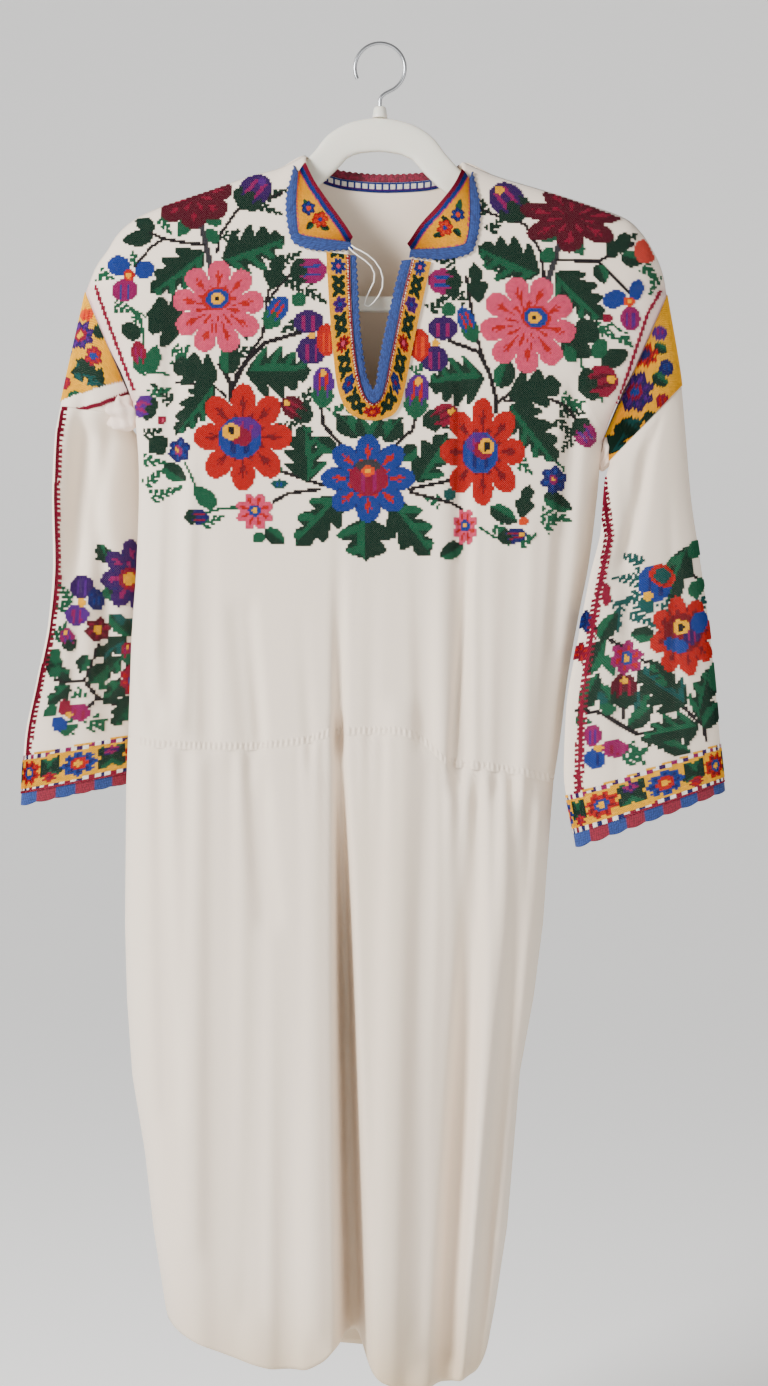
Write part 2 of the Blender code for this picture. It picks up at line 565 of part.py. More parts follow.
def body_front(left, right, material):
    """Front body panel through its two grids."""
    axes_left = seam_axes(left, -1, (0,), waist)
    axes_right = seam_axes(right, -1, (-1,), waist)
    axes = np.concatenate([axes_left.reshape(-1, 3), axes_right.reshape(-1, 3)])
    faces = grid_faces(*left.shape[:2])
    points = np.concatenate([left.reshape(-1, 3), right.reshape(-1, 3)])
    faces = np.concatenate([faces, faces + left.shape[0] * left.shape[1]])
    return cloth_wall("bodice_front", points, faces, axes, CLOTH, material)


def waist_border(x_start, x_end):
    x = np.linspace(x_start, x_end, BORDER_STEPS)
    return np.stack([x, waist(x)], -1)


def back_waist(x):
    """The waist seam at the back runs straight from side to side."""
    ends = [left_edge(WAIST_LEFT_Z), right_edge(WAIST_RIGHT_Z)]
    return np.interp(x, ends, [WAIST_LEFT_Z, WAIST_RIGHT_Z])


def back_grid():
    """The back body panel as a Coons patch with the back neckline in its top border."""
    side_left, side_right, shoulder_left, shoulder_right = body_borders()
    top = border(shoulder_left + BACK_NECKLINE[1:-1] + shoulder_right)
    x = np.linspace(side_left[-1][0], side_right[-1][0], BORDER_STEPS)
    bottom = np.stack([x, back_waist(x)], -1)
    return panel_rows(border(side_left), border(side_right), top, bottom, BACK_LEVELS, back_y, BACK_COLUMNS)


def body_back(rows, material):
    """Back body panel through its grid."""
    axes = seam_axes(rows, 1, (0, -1), back_waist)
    faces = grid_faces(*rows.shape[:2])[:, ::-1]
    return cloth_wall("bodice_back", rows.reshape(-1, 3), faces, axes.reshape(-1, 3), CLOTH, material)


def skirt_panel(name, seam_x, seam, surface, waves, fold_line, facing, material):
    """A skirt panel in two stretches, left and right of its main fold, so that a column follows the fold.
    Its first row takes its x from the body panel above, so that the two edges run side by side."""
    middle = len(seam_x) // 2
    rows = []
    for v in np.linspace(0, 1, SKIRT_ROWS) ** 1.15:
        fold_x = seam_x[middle] + (fold_line - seam_x[middle]) * v
        z_left = (1 - v) * (WAIST_LEFT_Z - SEAM_GAP) + v * FRONT_HEM[0][1]
        z_right = (1 - v) * (WAIST_RIGHT_Z - SEAM_GAP) + v * FRONT_HEM[-1][1]
        stretches = []
        for x_start, x_end in ((left_edge(z_left), fold_x), (fold_x, right_edge(z_right))):
            x = np.linspace(x_start, x_end, 321)
            points = skirt_points(x, v, seam, surface, waves, facing)
            stretches.append(even_steps(points, middle + 1))
        rows.append(np.concatenate([stretches[0], stretches[1][1:]]))
    rows[0] = skirt_points(seam_x, 0.0, seam, surface, waves, facing)
    rows = np.array(rows)
    rows[:, [0, -1], 1] = facing * SEAM_GAP / 2
    axes = np.zeros(rows.shape)
    axes[0, :] = across_seam(seam, seam_x)
    axes[-1, :] = (0, 0, 1)
    axes[:, [0, -1]] = (0, 1, 0)
    faces = grid_faces(*rows.shape[:2])
    faces = faces[:, ::-1] if facing > 0 else faces
    return cloth_wall(name, rows.reshape(-1, 3), faces, axes.reshape(-1, 3), CLOTH, material)


def skirt_points(x, v, seam, surface, waves, facing):
    """Points of a skirt panel at a share v of the way from the seam to the hem, gathers included."""
    z = (1 - v) * (seam(x) - SEAM_GAP) + v * hem(x, facing)
    drop = seam(x) - SEAM_GAP - z
    y = surface(x, z) + facing * gathers(waves, x, drop) * side_rounding(x, z)
    return np.stack([x, y, z], -1)


def sleeve_ring(table, fold_table, section):
    """Points round a sleeve at a section number: an ellipse on the line from outer to inner end."""
    numbers = np.arange(len(table))
    outer_x, outer_y, outer_z, inner_x, inner_y, inner_z, depth = (
        float(smooth(numbers, column, section)) for column in columns(table)
    )
    turn = np.linspace(0, 2 * math.pi, RING_POINTS, endpoint=False)
    share = (1 - np.cos(turn)) / 2
    outer, inner = np.array([outer_x, outer_y, outer_z]), np.array([inner_x, inner_y, inner_z])
    points = outer + (inner - outer) * share[:, None]
    points[:, 1] -= np.sin(turn) * depth
    for share_top, share_bottom, first, last, width, fold_depth in fold_table:
        run = (section - first) / (last - first)
        if 0 <= run <= 1:
            centre = share_top + (share_bottom - share_top) * run
            groove = np.exp(-(((share - centre) / width) ** 2)) * (np.sin(turn) > 0)
            points[:, 1] += fold_depth * math.sin(math.pi * run) * groove
    return points


def sleeve_tube(name, table, fold_table, sections, start_gap, thickness, material):
    """A tube through a sleeve's rings, from one section number to another."""
    left = table[0][0] < 0
    rings = np.array([sleeve_ring(table, fold_table, s) for s in sections])
    path = rings.mean(axis=1)
    start = path[1] - path[0]
    start = armhole_axis(left) if sections[0] == 0.0 else ring_axis(rings[0], start)
    end = ring_axis(rings[-1], path[-1] - path[-2])
    rings[0] += start * start_gap
    axes = np.zeros(rings.shape)
    axes[0, :], axes[-1, :] = start, end
    faces = grid_faces(*rings.shape[:2], closed=True)
    faces = faces if left else faces[:, ::-1]
    return cloth_wall(name, rings.reshape(-1, 3), faces, axes.reshape(-1, 3), thickness, material)


def ring_axis(ring, forward):
    """Unit normal of a sleeve's ring, on the side that it goes on."""
    across_ring = ring[RING_POINTS // 2] - ring[0]
    normal = np.cross(across_ring, (0, 1, 0))
    normal = normal / np.linalg.norm(normal)
    return normal if np.dot(normal, forward) > 0 else -normal


def shifted(flat, distance):
    """A line of points in x and z moved sideways: to the right of the way it runs for a positive distance."""
    step = np.gradient(flat, axis=0)
    step = step / np.linalg.norm(step, axis=1, keepdims=True)
    return flat + distance * np.stack([step[:, 1], -step[:, 0]], -1)


def strip(name, first, last, lift, thickness, material):
    """A flat trim on the front panel between two lines of points, each in x and z."""
    flat = np.array([first, (first + last) / 2, last])
    points = on_front(flat, np.full(flat.shape[:2], lift))
    faces = grid_faces(*flat.shape[:2])
    normals = vertex_normals(points.reshape(-1, 3), faces)
    faces = faces[:, ::-1] if normals[:, 1].mean() > 0 else faces
    axes = np.zeros((points.shape[0] * points.shape[1], 3))
    return cloth_wall(name, points.reshape(-1, 3), faces, axes, thickness, material)


def line_share(flat):
    """How far along its line each point lies, from 0 to 1."""
    length = np.concatenate([[0.0], np.cumsum(np.linalg.norm(np.diff(flat, axis=0), axis=1))])
    return length / length[-1]


def slit_trims(left, right, band_material, edging_material):
    """The embroidered band on the panel round the slit, and the crocheted edge inside the slit.
    Both start from the points of the panel's own edge, down the left side and up the right."""
    foot = len(FRONT_LEVELS_ABOVE_FOOT)
    down, up = left[FIRST_SLIT_ROW : foot + 1, -1], right[FIRST_SLIT_ROW:foot, 0][::-1]
    edge = np.concatenate([down, up])[:, [0, 2]]
    share = line_share(edge)
    outer, inner = along(SLIT_BAND_OUTER, share), along(SLIT_EDGING_INNER, share)
    strip("slit_band", shifted(edge, 0.3), outer, 2.2, CLOTH, band_material)
    strip("slit_edging", shifted(edge, -0.5), inner, 0.2, TRIM_THICKNESS, edging_material)


def collar_wing(side, neck, outer, edge, material, edging_material):
    """One wing of the turned-down collar and the crocheted edge round its outer side."""
    neck, outer, edge = (along(line, np.linspace(0, 1, 17)) for line in (neck, outer, edge))
    away = 0.35 if side == "left" else -0.35
    strip(f"collar_{side}", neck, outer, COLLAR_LIFT, CLOTH, material)
    strip(f"collar_edging_{side}", shifted(outer, away), edge, COLLAR_LIFT, TRIM_THICKNESS, edging_material)


def neck_edging(top_row, material):
    """Crocheted edge that stands on the back neckline, on the points of the panel's own edge."""
    inside = (top_row[:, 0] > NECK_LEFT[0] + 4) & (top_row[:, 0] < NECK_RIGHT[0] - 4)
    base = top_row[inside]
    lifted = shifted(base[:, [0, 2]], -0.35)
    x, z = lifted[:, 0], lifted[:, 1]
    heights = (NECK_EDGING_HEIGHT, NECK_EDGING_HEIGHT / 2, 0.0)
    rows = np.array([np.stack([x, base[:, 1], z + height], -1) for height in heights])
    faces = grid_faces(*rows.shape[:2])[:, ::-1]
    axes = np.zeros((rows.shape[0] * rows.shape[1], 3))
    return cloth_wall("neck_edging", rows.reshape(-1, 3), faces, axes, TRIM_THICKNESS, material)


def hanger_frame(material):
    """The moulded frame: a closed loop of rounded sections through arch, arms, corners and bar."""
    x, z, half_height = columns(HANGER_FRAME)
    signs = ((x, -1), (z, 1), (half_height, 1))
    closed = np.stack([np.concatenate([c, c[1:-1][::-1] * sign]) for c, sign in signs], -1)
    count = len(closed)
    knots = np.arange(-3, count + 4)
    at = np.linspace(0, count, HANGER_STATIONS, endpoint=False)
    x, z, half_height = (smooth(knots, np.take(closed[:, k], knots, mode="wrap"), at) for k in range(3))
    z = z - HANGER_TILT * x
    step = np.stack([np.roll(x, -1) - np.roll(x, 1), np.roll(z, -1) - np.roll(z, 1)], -1)
    step = step / np.linalg.norm(step, axis=1, keepdims=True)
    turn = np.linspace(0, 2 * math.pi, 12, endpoint=False) + math.pi / 12
    side = np.sign(np.cos(turn)) * np.abs(np.cos(turn)) ** 0.6
    thick = np.sign(np.sin(turn)) * np.abs(np.sin(turn)) ** 0.6 * HANGER_HALF_THICKNESS
    reach = half_height[:, None] * side
    out_x, out_z = x[:, None] - step[:, 1:] * reach, z[:, None] + step[:, :1] * reach
    points = np.stack([out_x, np.broadcast_to(thick, reach.shape), out_z], -1)
    i, j = np.meshgrid(np.arange(len(at)), np.arange(12), indexing="ij")
    a, b = i * 12 + j, i * 12 + (j + 1) % 12
    down = (i + 1) % len(at) * 12
    faces = np.stack([a, down + j, down + (j + 1) % 12, b], -1).reshape(-1, 4)
    return add_mesh("hanger_frame", points.reshape(-1, 3), faces, material)


def knob(material):
    """The small collar of the hanger that the hook goes into."""
    mesh = bpy.data.meshes.new("hanger_knob")
    cylinder = bmesh.new()
    bmesh.ops.create_cone(
        cylinder,
        cap_ends=True,
        segments=24,
        radius1=KNOB_BASE_RADIUS * MM,
        radius2=KNOB_TOP_RADIUS * MM,
        depth=(KNOB_TOP - KNOB_BASE) * MM,
    )
    bmesh.ops.translate(cylinder, verts=cylinder.verts, vec=(0, 0, (KNOB_TOP + KNOB_BASE) / 2 * MM))
    cylinder.to_mesh(mesh)
    cylinder.free()
    mesh.materials.append(material)
    obj = bpy.data.objects.new("hanger_knob", mesh)
    bpy.data.collections["folk_dress"].objects.link(obj)
    return obj


def wire(name, path, diameter, material):
    """A round wire along a line of points."""
    curve = bpy.data.curves.new(name, "CURVE")
    curve.dimensions = "3D"
    curve.bevel_depth = diameter / 2 * MM
    curve.bevel_resolution = 2
    curve.use_fill_caps = True
    spline = curve.splines.new("POLY")
    spline.points.add(len(path) - 1)
    for point, (x, y, z) in zip(spline.points, path):
        point.co = (x * MM, y * MM, z * MM, 1.0)
    curve.materials.append(material)
    obj = bpy.data.objects.new(name, curve)
    bpy.data.collections["folk_dress"].objects.link(obj)
    return obj


def hook_path():
    """Stem, a bend to the right, then the hook's arc over the top to the left."""
    centre = HOOK_WIRE / 2 - HOOK_RADIUS
    angles = np.radians(np.linspace(-58, 205, 25))
    arc = [(HOOK_RADIUS * math.cos(a), 0.0, centre + HOOK_RADIUS * math.sin(a)) for a in angles]
    stem = [(0.0, 0.0, KNOB_TOP + SEAM_GAP), (0.0, 0.0, -53.0), (1.2, 0.0, -49.5), (5.0, 0.0, -46.0)]
    return stem + arc


def extended(table):
    """A sleeve's sections with one more, as far on as the last two are apart."""
    last = 2 * np.array(table[-1]) - np.array(table[-2])
    return table + [tuple(last)]


def main():
    for obj in list(bpy.data.objects):
        bpy.data.objects.remove(obj)
    collection = bpy.data.collections.new("folk_dress")
    bpy.context.scene.collection.children.link(collection)

    linen = make_material("linen", (0.80, 0.74, 0.66), 0.9)
    embroidered = make_material("embroidered_band", (0.82, 0.50, 0.12), 0.85)
    crochet = make_material("blue_crochet", (0.16, 0.22, 0.42), 0.85)
    crimson = make_material("crimson_crochet", (0.45, 0.05, 0.12), 0.85)
    plastic = make_material("cream_plastic", (0.78, 0.74, 0.66), 0.4)
    steel = make_material("hook_steel", (0.60, 0.60, 0.60), 0.3, 1.0)
    thread = make_material("tie_thread", (0.85, 0.83, 0.80), 0.8)

    left, right = front_grids()
    back = back_grid()
    body_front(left, right, linen)
    body_back(back, linen)
    front_seam = np.concatenate([left[-1, :, 0], right[-1, 1:, 0]])
    skirt_panel("skirt_front", front_seam, waist, front_y, FRONT_GATHERS, FRONT_FOLD_AT_HEM, -1, linen)
    skirt_panel("skirt_back", back[-1, :, 0], back_waist, back_y, BACK_GATHERS, BACK_FOLD_AT_HEM, 1, linen)

    sleeves = (("left", SLEEVE_LEFT, SLEEVE_FOLDS_LEFT), ("right", SLEEVE_RIGHT, SLEEVE_FOLDS_RIGHT))
    for side, table, fold_table in sleeves:
        last = len(table) - 1.0
        band = np.linspace(0.0, BAND_SECTION, 4)
        sleeve = np.linspace(BAND_SECTION, last, SLEEVE_SECTIONS)
        edging = last + np.array([0.0, 0.1, 0.2])
        sleeve_tube(f"shoulder_band_{side}", table, fold_table, band, SEAM_GAP, CLOTH, embroidered)
        sleeve_tube(f"sleeve_{side}", table, fold_table, sleeve, SEAM_GAP, CLOTH, linen)
        sleeve_tube(f"cuff_edging_{side}", extended(table), [], edging, SEAM_GAP, TRIM_THICKNESS, crochet)

    slit_trims(left, right, embroidered, crochet)
    collar_wing("left", COLLAR_LEFT_NECK, COLLAR_LEFT_OUTER, COLLAR_LEFT_EDGE, linen, crochet)
    collar_wing("right", COLLAR_RIGHT_NECK, COLLAR_RIGHT_OUTER, COLLAR_RIGHT_EDGE, linen, crochet)
    neck_edging(back[0], crimson)
    hanger_frame(plastic)
    knob(plastic)
    wire("hanger_hook", hook_path(), HOOK_WIRE, steel)
    wire("thread_tie", LOOP_PATH, LOOP_CORD, thread)


main()
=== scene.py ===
"""Embroidered linen folk dress on a moulded hanger, hung from the hook with its front towards -Y.

Tables are in millimetres, x to the right and z up from the point where the hook is held.
"""

import math

import bpy
import numpy as np
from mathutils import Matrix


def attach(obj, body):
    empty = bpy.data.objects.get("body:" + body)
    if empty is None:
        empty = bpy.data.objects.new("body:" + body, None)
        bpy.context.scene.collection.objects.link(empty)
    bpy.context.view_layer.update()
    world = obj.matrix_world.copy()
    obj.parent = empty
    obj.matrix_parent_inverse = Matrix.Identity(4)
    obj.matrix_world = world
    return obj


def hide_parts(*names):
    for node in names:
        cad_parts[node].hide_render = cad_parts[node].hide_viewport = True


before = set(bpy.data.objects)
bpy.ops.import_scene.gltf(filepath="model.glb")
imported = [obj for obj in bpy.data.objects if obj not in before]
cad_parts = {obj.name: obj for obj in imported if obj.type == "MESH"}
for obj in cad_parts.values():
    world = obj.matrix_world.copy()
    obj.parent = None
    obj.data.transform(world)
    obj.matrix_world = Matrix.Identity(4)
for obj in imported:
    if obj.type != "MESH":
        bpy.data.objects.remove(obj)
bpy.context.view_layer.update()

MM = 0.001


# The camera: level, square to the front of the dress, as far off as the photograph was taken
CAMERA_PLACE = (0.0038, -2.2, -0.6156)
CAMERA_LENS = 60.15
SENSOR_HEIGHT = 36.0

camera_data = bpy.data.cameras.new("camera")
camera_data.sensor_fit = "VERTICAL"
camera_data.sensor_height = SENSOR_HEIGHT
camera_data.lens = CAMERA_LENS
camera = bpy.data.objects.new("camera", camera_data)
camera.location = CAMERA_PLACE
camera.rotation_euler = (math.pi / 2, 0.0, 0.0)
bpy.context.scene.collection.objects.link(camera)
bpy.context.scene.camera = camera


# Thread tie of the collar: a white cotton cord, twisted, that starts and ends in the collar's corner and
# hangs in a loop over the opening. It is limp, and both its ends are sewn in.
TIE_CORD = 1.3
TIE_BAND_SCALE = 72.38
TIE_PATH = [
    # x, y, z
    (-26.6, -31.6, -196.5), (-25.7, -33.5, -197.5), (-23.1, -36, -199.9), (-18.1, -37, -202.4),
    (-11.7, -36.5, -205.9), (-4.9, -34.5, -211.4), (0.5, -31.5, -218.8), (2.7, -28.5, -226.6),
    (2.3, -25.5, -234.5), (-1, -22.8, -241.9), (-5.9, -20.8, -248), (-10.9, -19.9, -251.8),
    (-14.6, -19.7, -249.8), (-13.4, -20.2, -243.9), (-9.4, -22.3, -236.4), (-5.7, -25.3, -229.5),
    (-5.1, -28.5, -222.2), (-8.3, -31.5, -215.8), (-14.2, -34.5, -210.9), (-20.6, -36, -206.8),
    (-25.5, -35.5, -203), (-28.3, -33.5, -199.9), (-29.1, -31.7, -198.6),
]
TIE_COLOUR = "#EDE8E0"


def linear(hex_colour):
    """An sRGB hex value as a linear colour: each channel through the sRGB curve."""
    channels = [int(hex_colour[k : k + 2], 16) / 255 for k in (1, 3, 5)]
    return tuple(c / 12.92 if c <= 0.04045 else ((c + 0.055) / 1.055) ** 2.4 for c in channels)


def add_node(material, kind, settings=None, **links):
    """A node with its settings, and its inputs linked to outputs or given values. An input's name is
    written with underscores for spaces."""
    node = material.node_tree.nodes.new(kind)
    for key, value in (settings or {}).items():
        setattr(node, key, value)
    for key, value in links.items():
        socket = node.inputs[int(key[1:])] if key[1:].isdigit() else node.inputs[key.replace("_", " ")]
        if isinstance(value, bpy.types.NodeSocket):
            material.node_tree.links.new(value, socket)
        else:
            socket.default_value = value
    return node


def new_material(name, colour, roughness, **settings):
    """A material whose surface has one colour, roughness and the shader's own settings."""
    material = bpy.data.materials.new(name)
    material.use_nodes = True
    shader = material.node_tree.nodes["Principled BSDF"]
    shader.inputs["Base Color"].default_value = (*linear(colour), 1.0)
    shader.inputs["Roughness"].default_value = roughness
    for key, value in settings.items():
        shader.inputs[key.replace("_", " ")].default_value = value
    return material, shader


def add_relief(material, shader, height, strength, depth_mm):
    """Bumps on the surface: a height from 0 to 1 over a depth in millimetres."""
    bump = add_node(material, "ShaderNodeBump", Height=height, Strength=strength, Distance=depth_mm * MM)
    material.node_tree.links.new(bump.outputs["Normal"], shader.inputs["Normal"])


def cotton_cord_material():
    """Twisted white cotton: soft slanting bands over the cord, for its turned strands."""
    material, shader = new_material("twisted_cotton", TIE_COLOUR, 0.85, Sheen_Weight=0.3)
    place = add_node(material, "ShaderNodeTexCoord")
    turns = add_node(
        material,
        "ShaderNodeTexWave",
        {"wave_type": "BANDS", "bands_direction": "DIAGONAL"},
        Vector=place.outputs["Object"],
        Scale=TIE_BAND_SCALE,
        Distortion=0.6,
    )
    add_relief(material, shader, turns.outputs["Fac"], 0.5, 0.3)
    return material


def cord_curve(name, path, diameter, material):
    """A round cord along a line of points in millimetres, as one open spline with filled ends."""
    curve = bpy.data.curves.new(name, "CURVE")
    curve.dimensions = "3D"
    curve.bevel_depth = diameter / 2 * MM
    curve.bevel_resolution = 3
    curve.use_fill_caps = True
    spline = curve.splines.new("POLY")
    spline.points.add(len(path) - 1)
    flat = np.concatenate([np.asarray(path, float) * MM, np.ones((len(path), 1))], axis=1)
    spline.points.foreach_set("co", flat.ravel())
    curve.materials.append(material)
    obj = bpy.data.objects.new(name, curve)
    bpy.context.scene.collection.objects.link(obj)
    return obj


tie = cord_curve("collar_tie", TIE_PATH, TIE_CORD, cotton_cord_material())
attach(tie, "root")
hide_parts("thread_tie")


# Front body panel: soft white linen, plain woven, cut in one piece with a slit from the neck. It is sewn to
# the back panel along shoulders and sides and hangs in soft uneven folds from the shoulders to the waist.
CLOTH = 1.5
SEAM_GAP = 0.3
ARMHOLE_HALF_DEPTH = 18.0
SHOULDER_ROUNDING = 45.0
BODY_FLATNESS = 8.0
NECK_LEFT = (-71.0, -104.5)
NECK_RIGHT = (79.0, -111.0)
SLIT_FOOT = (-5.9, -345.1)
CENTRE_AT_WAIST = (-38.5, -651.0)
SLIT_FOOT_SHARE = 0.46
WAIST_LEFT_Z = -656.0
WAIST_RIGHT_Z = -698.0
BORDER_STEPS = 801

OUTLINE_LEFT = [
    # z, x
    (-104.5, -71), (-117, -96), (-124, -122), (-138, -162), (-152, -204),
    (-166, -234), (-180.5, -250), (-195, -259), (-209, -269), (-233, -279),
    (-286, -257), (-339, -235), (-413, -229), (-489, -231), (-565, -236),
    (-656, -239), (-708, -241), (-836, -242), (-907, -240), (-978, -235),
    (-1050, -223), (-1121, -215), (-1192, -204), (-1245, -195), (-1280, -190),
]
OUTLINE_RIGHT = [
    # z, x
    (-111, 79), (-124, 109), (-138, 155), (-152, 198.5), (-166, 235),
    (-180.5, 250), (-195, 259), (-209, 266), (-223, 270), (-236, 272),
    (-305, 242), (-375, 212), (-432, 206), (-489, 199), (-546, 188),
    (-603, 178), (-660, 171), (-699, 165), (-765, 160), (-836, 155),
    (-907, 146), (-978, 133), (-1050, 127), (-1121, 121), (-1192, 110),
    (-1262, 97), (-1290, 93),
]
TIP_ROW, UNDERARM_ROW = 9, 11
FULLNESS = [
    # z, front, back
    (-104, 33, 30), (-340, 36, 33), (-500, 38, 36), (-656, 40, 38),
    (-900, 50, 46), (-1290, 58, 54),
]
WAIST_SEAM = [
    # x, z
    (-245, -656), (-204, -663), (-131, -665), (-75, -660), (-38.5, -651),
    (11, -650), (35, -656), (66, -680), (103, -684), (128, -688), (175, -699),
]
NECKLINE_LEFT = [NECK_LEFT, (-65.3, -139.7), (-50.4, -167.2), (-35.5, -189.3), (-28.4, -205.3)]
NECKLINE_RIGHT = [
    NECK_RIGHT, (74.1, -136.2), (64.4, -152.8), (50.5, -167.1), (37.6, -187.3), (30.2, -209.3),
]
SLIT_LEFT = [
    (-28.4, -205.3), (-27.5, -241.2), (-25.6, -274.9), (-22.4, -304.6), (-18.2, -326.4), (-12.7, -340.2),
]
SLIT_RIGHT = [(30.2, -209.3), (22.3, -241.2), (15.8, -274.9), (9.7, -304.6), (5.5, -326.4), (1, -340.2)]

FRONT_FOLDS = [
    # x_top, z_top, x_bottom, z_bottom, width_top, width_bottom, depth_top, depth_bottom, growth share
    (-193, -251, -197, -610, 10, 10, 4, 7, 1),
    (-130, -548, -104, -820, 12, 12, 3, 4, 1),
    (-38, -470, -38.5, -655, 6, 5.5, 1, 11, 1),
    (77, -334, 76, -690, 8, 9, 4, 9, 1),
    (183, -344, 152, -690, 9, 8, 6, 5, 1),
    (37, -480, 42, -650, 9, 9, 1, 5, 1),
    (-162, -480, -160, -650, 9, 9, 1, 4, 1),
    (124, -500, 116, -700, 12, 12, 2, 5, 1),
    (-38.5, -655, -23.5, -1262, 5.5, 12.5, 11, 66, 0.45),
    (19, -640, 5, -1262, 14, 14, -5, -8, 0.5),
    (92, -705, 62, -1262, 10, 13, 4, 24, 0.7),
    (138, -733, 86, -1262, 8, 9, 4, 20, 0.7),
    (-88, -790, -86, -1262, 10, 12, 0, 6, 1),
    (-150, -700, -142, -1262, 16, 20, 2, 6, 1),
]
FRONT_CREASES = [
    # x_top, z_top, x_bottom, z_bottom, width_top, width_bottom, depth_top, depth_bottom, growth share
    (-206, -360, -222, -600, 7, 6, 1.5, 3.5, 1),
    (-219, -596, -212, -632, 10, 8, 4, 4, 1),
    (-176, -420, -186, -640, 6, 7, -2, -3, 1),
    (-120, -545, -112, -650, 6, 5, 1.5, 3.5, 1),
    (-72, -560, -66, -652, 6, 5, 0.5, 1.8, 1),
    (-6, -520, -8, -645, 7, 6, 0.5, 1.6, 1),
    (57, -400, 58, -660, 6, 6, -1, -2.4, 1),
    (95, -420, 96, -680, 6, 6, 0.6, 2.6, 1),
    (142, -470, 134, -690, 6, 6, -1, -2.6, 1),
    (170, -420, 162, -560, 6, 5, 1, 2, 1),
    (-150, -190, -176, -300, 9, 7, 0.8, 1.8, 1),
    (168, -190, 190, -300, 9, 7, 0.8, 1.8, 1),
    (-205, -700, -196, -1000, 8, 12, 3, 4, 1),
    (-168, -690, -176, -1120, 7, 12, -2, -3.5, 1),
    (-112, -720, -118, -1180, 8, 13, 2, 4.5, 1),
    (-62, -700, -60, -1200, 8, 10, -2, -4, 1),
    (46, -690, 30, -1200, 8, 10, 2.5, 4.5, 1),
    (116, -760, 80, -1180, 7, 8, -2, -4, 1),
    (85, -470, 66, -690, 4, 4, 2.5, 6, 1),
    (82, -720, 52, -1230, 20, 24, 3, 10, 0.7),
]
FOLD_FADE = 30.0

LINEN_THREAD = 1.1
LINEN_SHEEN = 0.25
LINEN = "#F0DFCB"
# A tan for painted light and shade: a tint where light comes through the skirt's middle, and shade towards
# the hem.
LINEN_PAINTED_TINT_AND_SHADE = "#CDB48F"
DYE_BLEED = "#D98FA0"


def columns(table):
    """The columns of a table as numpy arrays."""
    return [np.array(column, float) for column in zip(*table)]


def at_height(table, z, column=1):
    """A column of a table at heights z, read between its rows, whose first column runs down."""
    rows = np.array(table, float)[::-1]
    return np.interp(z, rows[:, 0], rows[:, column])


def line_length(points):
    """The distance of each point of a line from its first, along the line."""
    return np.concatenate([[0.0], np.cumsum(np.linalg.norm(np.diff(points, axis=0), axis=1))])


def smooth(knots, values, at):
    """A curve through the values at the knots: cubic Hermite pieces whose slope at a knot is the harmonic
    mean of the two steps beside it, and none where the values turn."""
    knots, values, at = (np.asarray(a, float) for a in (knots, values, at))
    if knots[0] > knots[-1]:
        knots, values = knots[::-1], values[::-1]
    steps = np.diff(values) / np.diff(knots)
    product = steps[:-1] * steps[1:]
    slopes = np.concatenate([steps[:1], 2 * product / (steps[:-1] + steps[1:] + 1e-12), steps[-1:]])
    turning = np.concatenate([[False], product <= 0, [False]])
    slopes[turning] = 0.0
    at = np.clip(at, knots[0], knots[-1])
    i = np.clip(np.searchsorted(knots, at) - 1, 0, len(knots) - 2)
    width = knots[i + 1] - knots[i]
    t = (at - knots[i]) / width
    return (
        values[i] * (1 + 2 * t) * (1 - t) ** 2
        + slopes[i] * width * t * (1 - t) ** 2
        + values[i + 1] * t * t * (3 - 2 * t)
        + slopes[i + 1] * width * t * t * (t - 1)
    )


def along(path, share):
    """Points at shares 0 to 1 of a path's length, on a smooth curve through its points."""
    path = np.array(path, float)
    length = line_length(path)
    return np.stack([smooth(length / length[-1], path[:, k], share) for k in range(path.shape[1])], -1)


def left_edge(z):
    """The dress's left outline at heights z."""
    return at_height(OUTLINE_LEFT, z)


def right_edge(z):
    """The dress's right outline at heights z."""
    return at_height(OUTLINE_RIGHT, z)


def shoulder_height(x):
    """Height of the shoulder line over x, straight across the neck."""
    heights, edge = columns(OUTLINE_LEFT[: TIP_ROW + 1][::-1] + OUTLINE_RIGHT[: TIP_ROW + 1])
    return np.interp(x, edge, heights)


def armhole_half_depth(z, outline):
    """Half the opening between front and back along the armhole, an ellipse from tip to underarm."""
    tip, underarm = outline[TIP_ROW][0], outline[UNDERARM_ROW][0]
    share = np.clip((z - tip) / (underarm - tip), 0.0, 1.0)
    return ARMHOLE_HALF_DEPTH * 2 * np.sqrt(share * (1 - share))


def across(x, z):
    """Share of the way from side to side, measured between the shoulder tips above the armholes."""
    left = left_edge(np.minimum(z, OUTLINE_LEFT[TIP_ROW][0]))
    right = right_edge(np.minimum(z, OUTLINE_RIGHT[TIP_ROW][0]))
    return np.clip((x - left) / (right - left), 0.0, 1.0)


def side_rounding(x, z):
    """0 at the side edges, 1 over the middle, like a flattened tube: a superellipse of high power."""
    return np.sqrt(1 - np.abs(2 * across(x, z) - 1) ** BODY_FLATNESS)


def half_depth(x, z, full):
    """How far the cloth stands from the middle plane, without folds: the armhole's half depth at the sides
    and the full depth over the middle, which grows from nothing at the shoulder line."""
    at_left, at_right = (armhole_half_depth(z, outline) for outline in (OUTLINE_LEFT, OUTLINE_RIGHT))
    edge = np.where(across(x, z) < 0.5, at_left, at_right)
    below = np.maximum(shoulder_height(x) - z, 0.0)
    middle = full * np.sqrt(below / (below + SHOULDER_ROUNDING))
    rounding = side_rounding(x, z)
    return edge * (1 - rounding) + middle * rounding


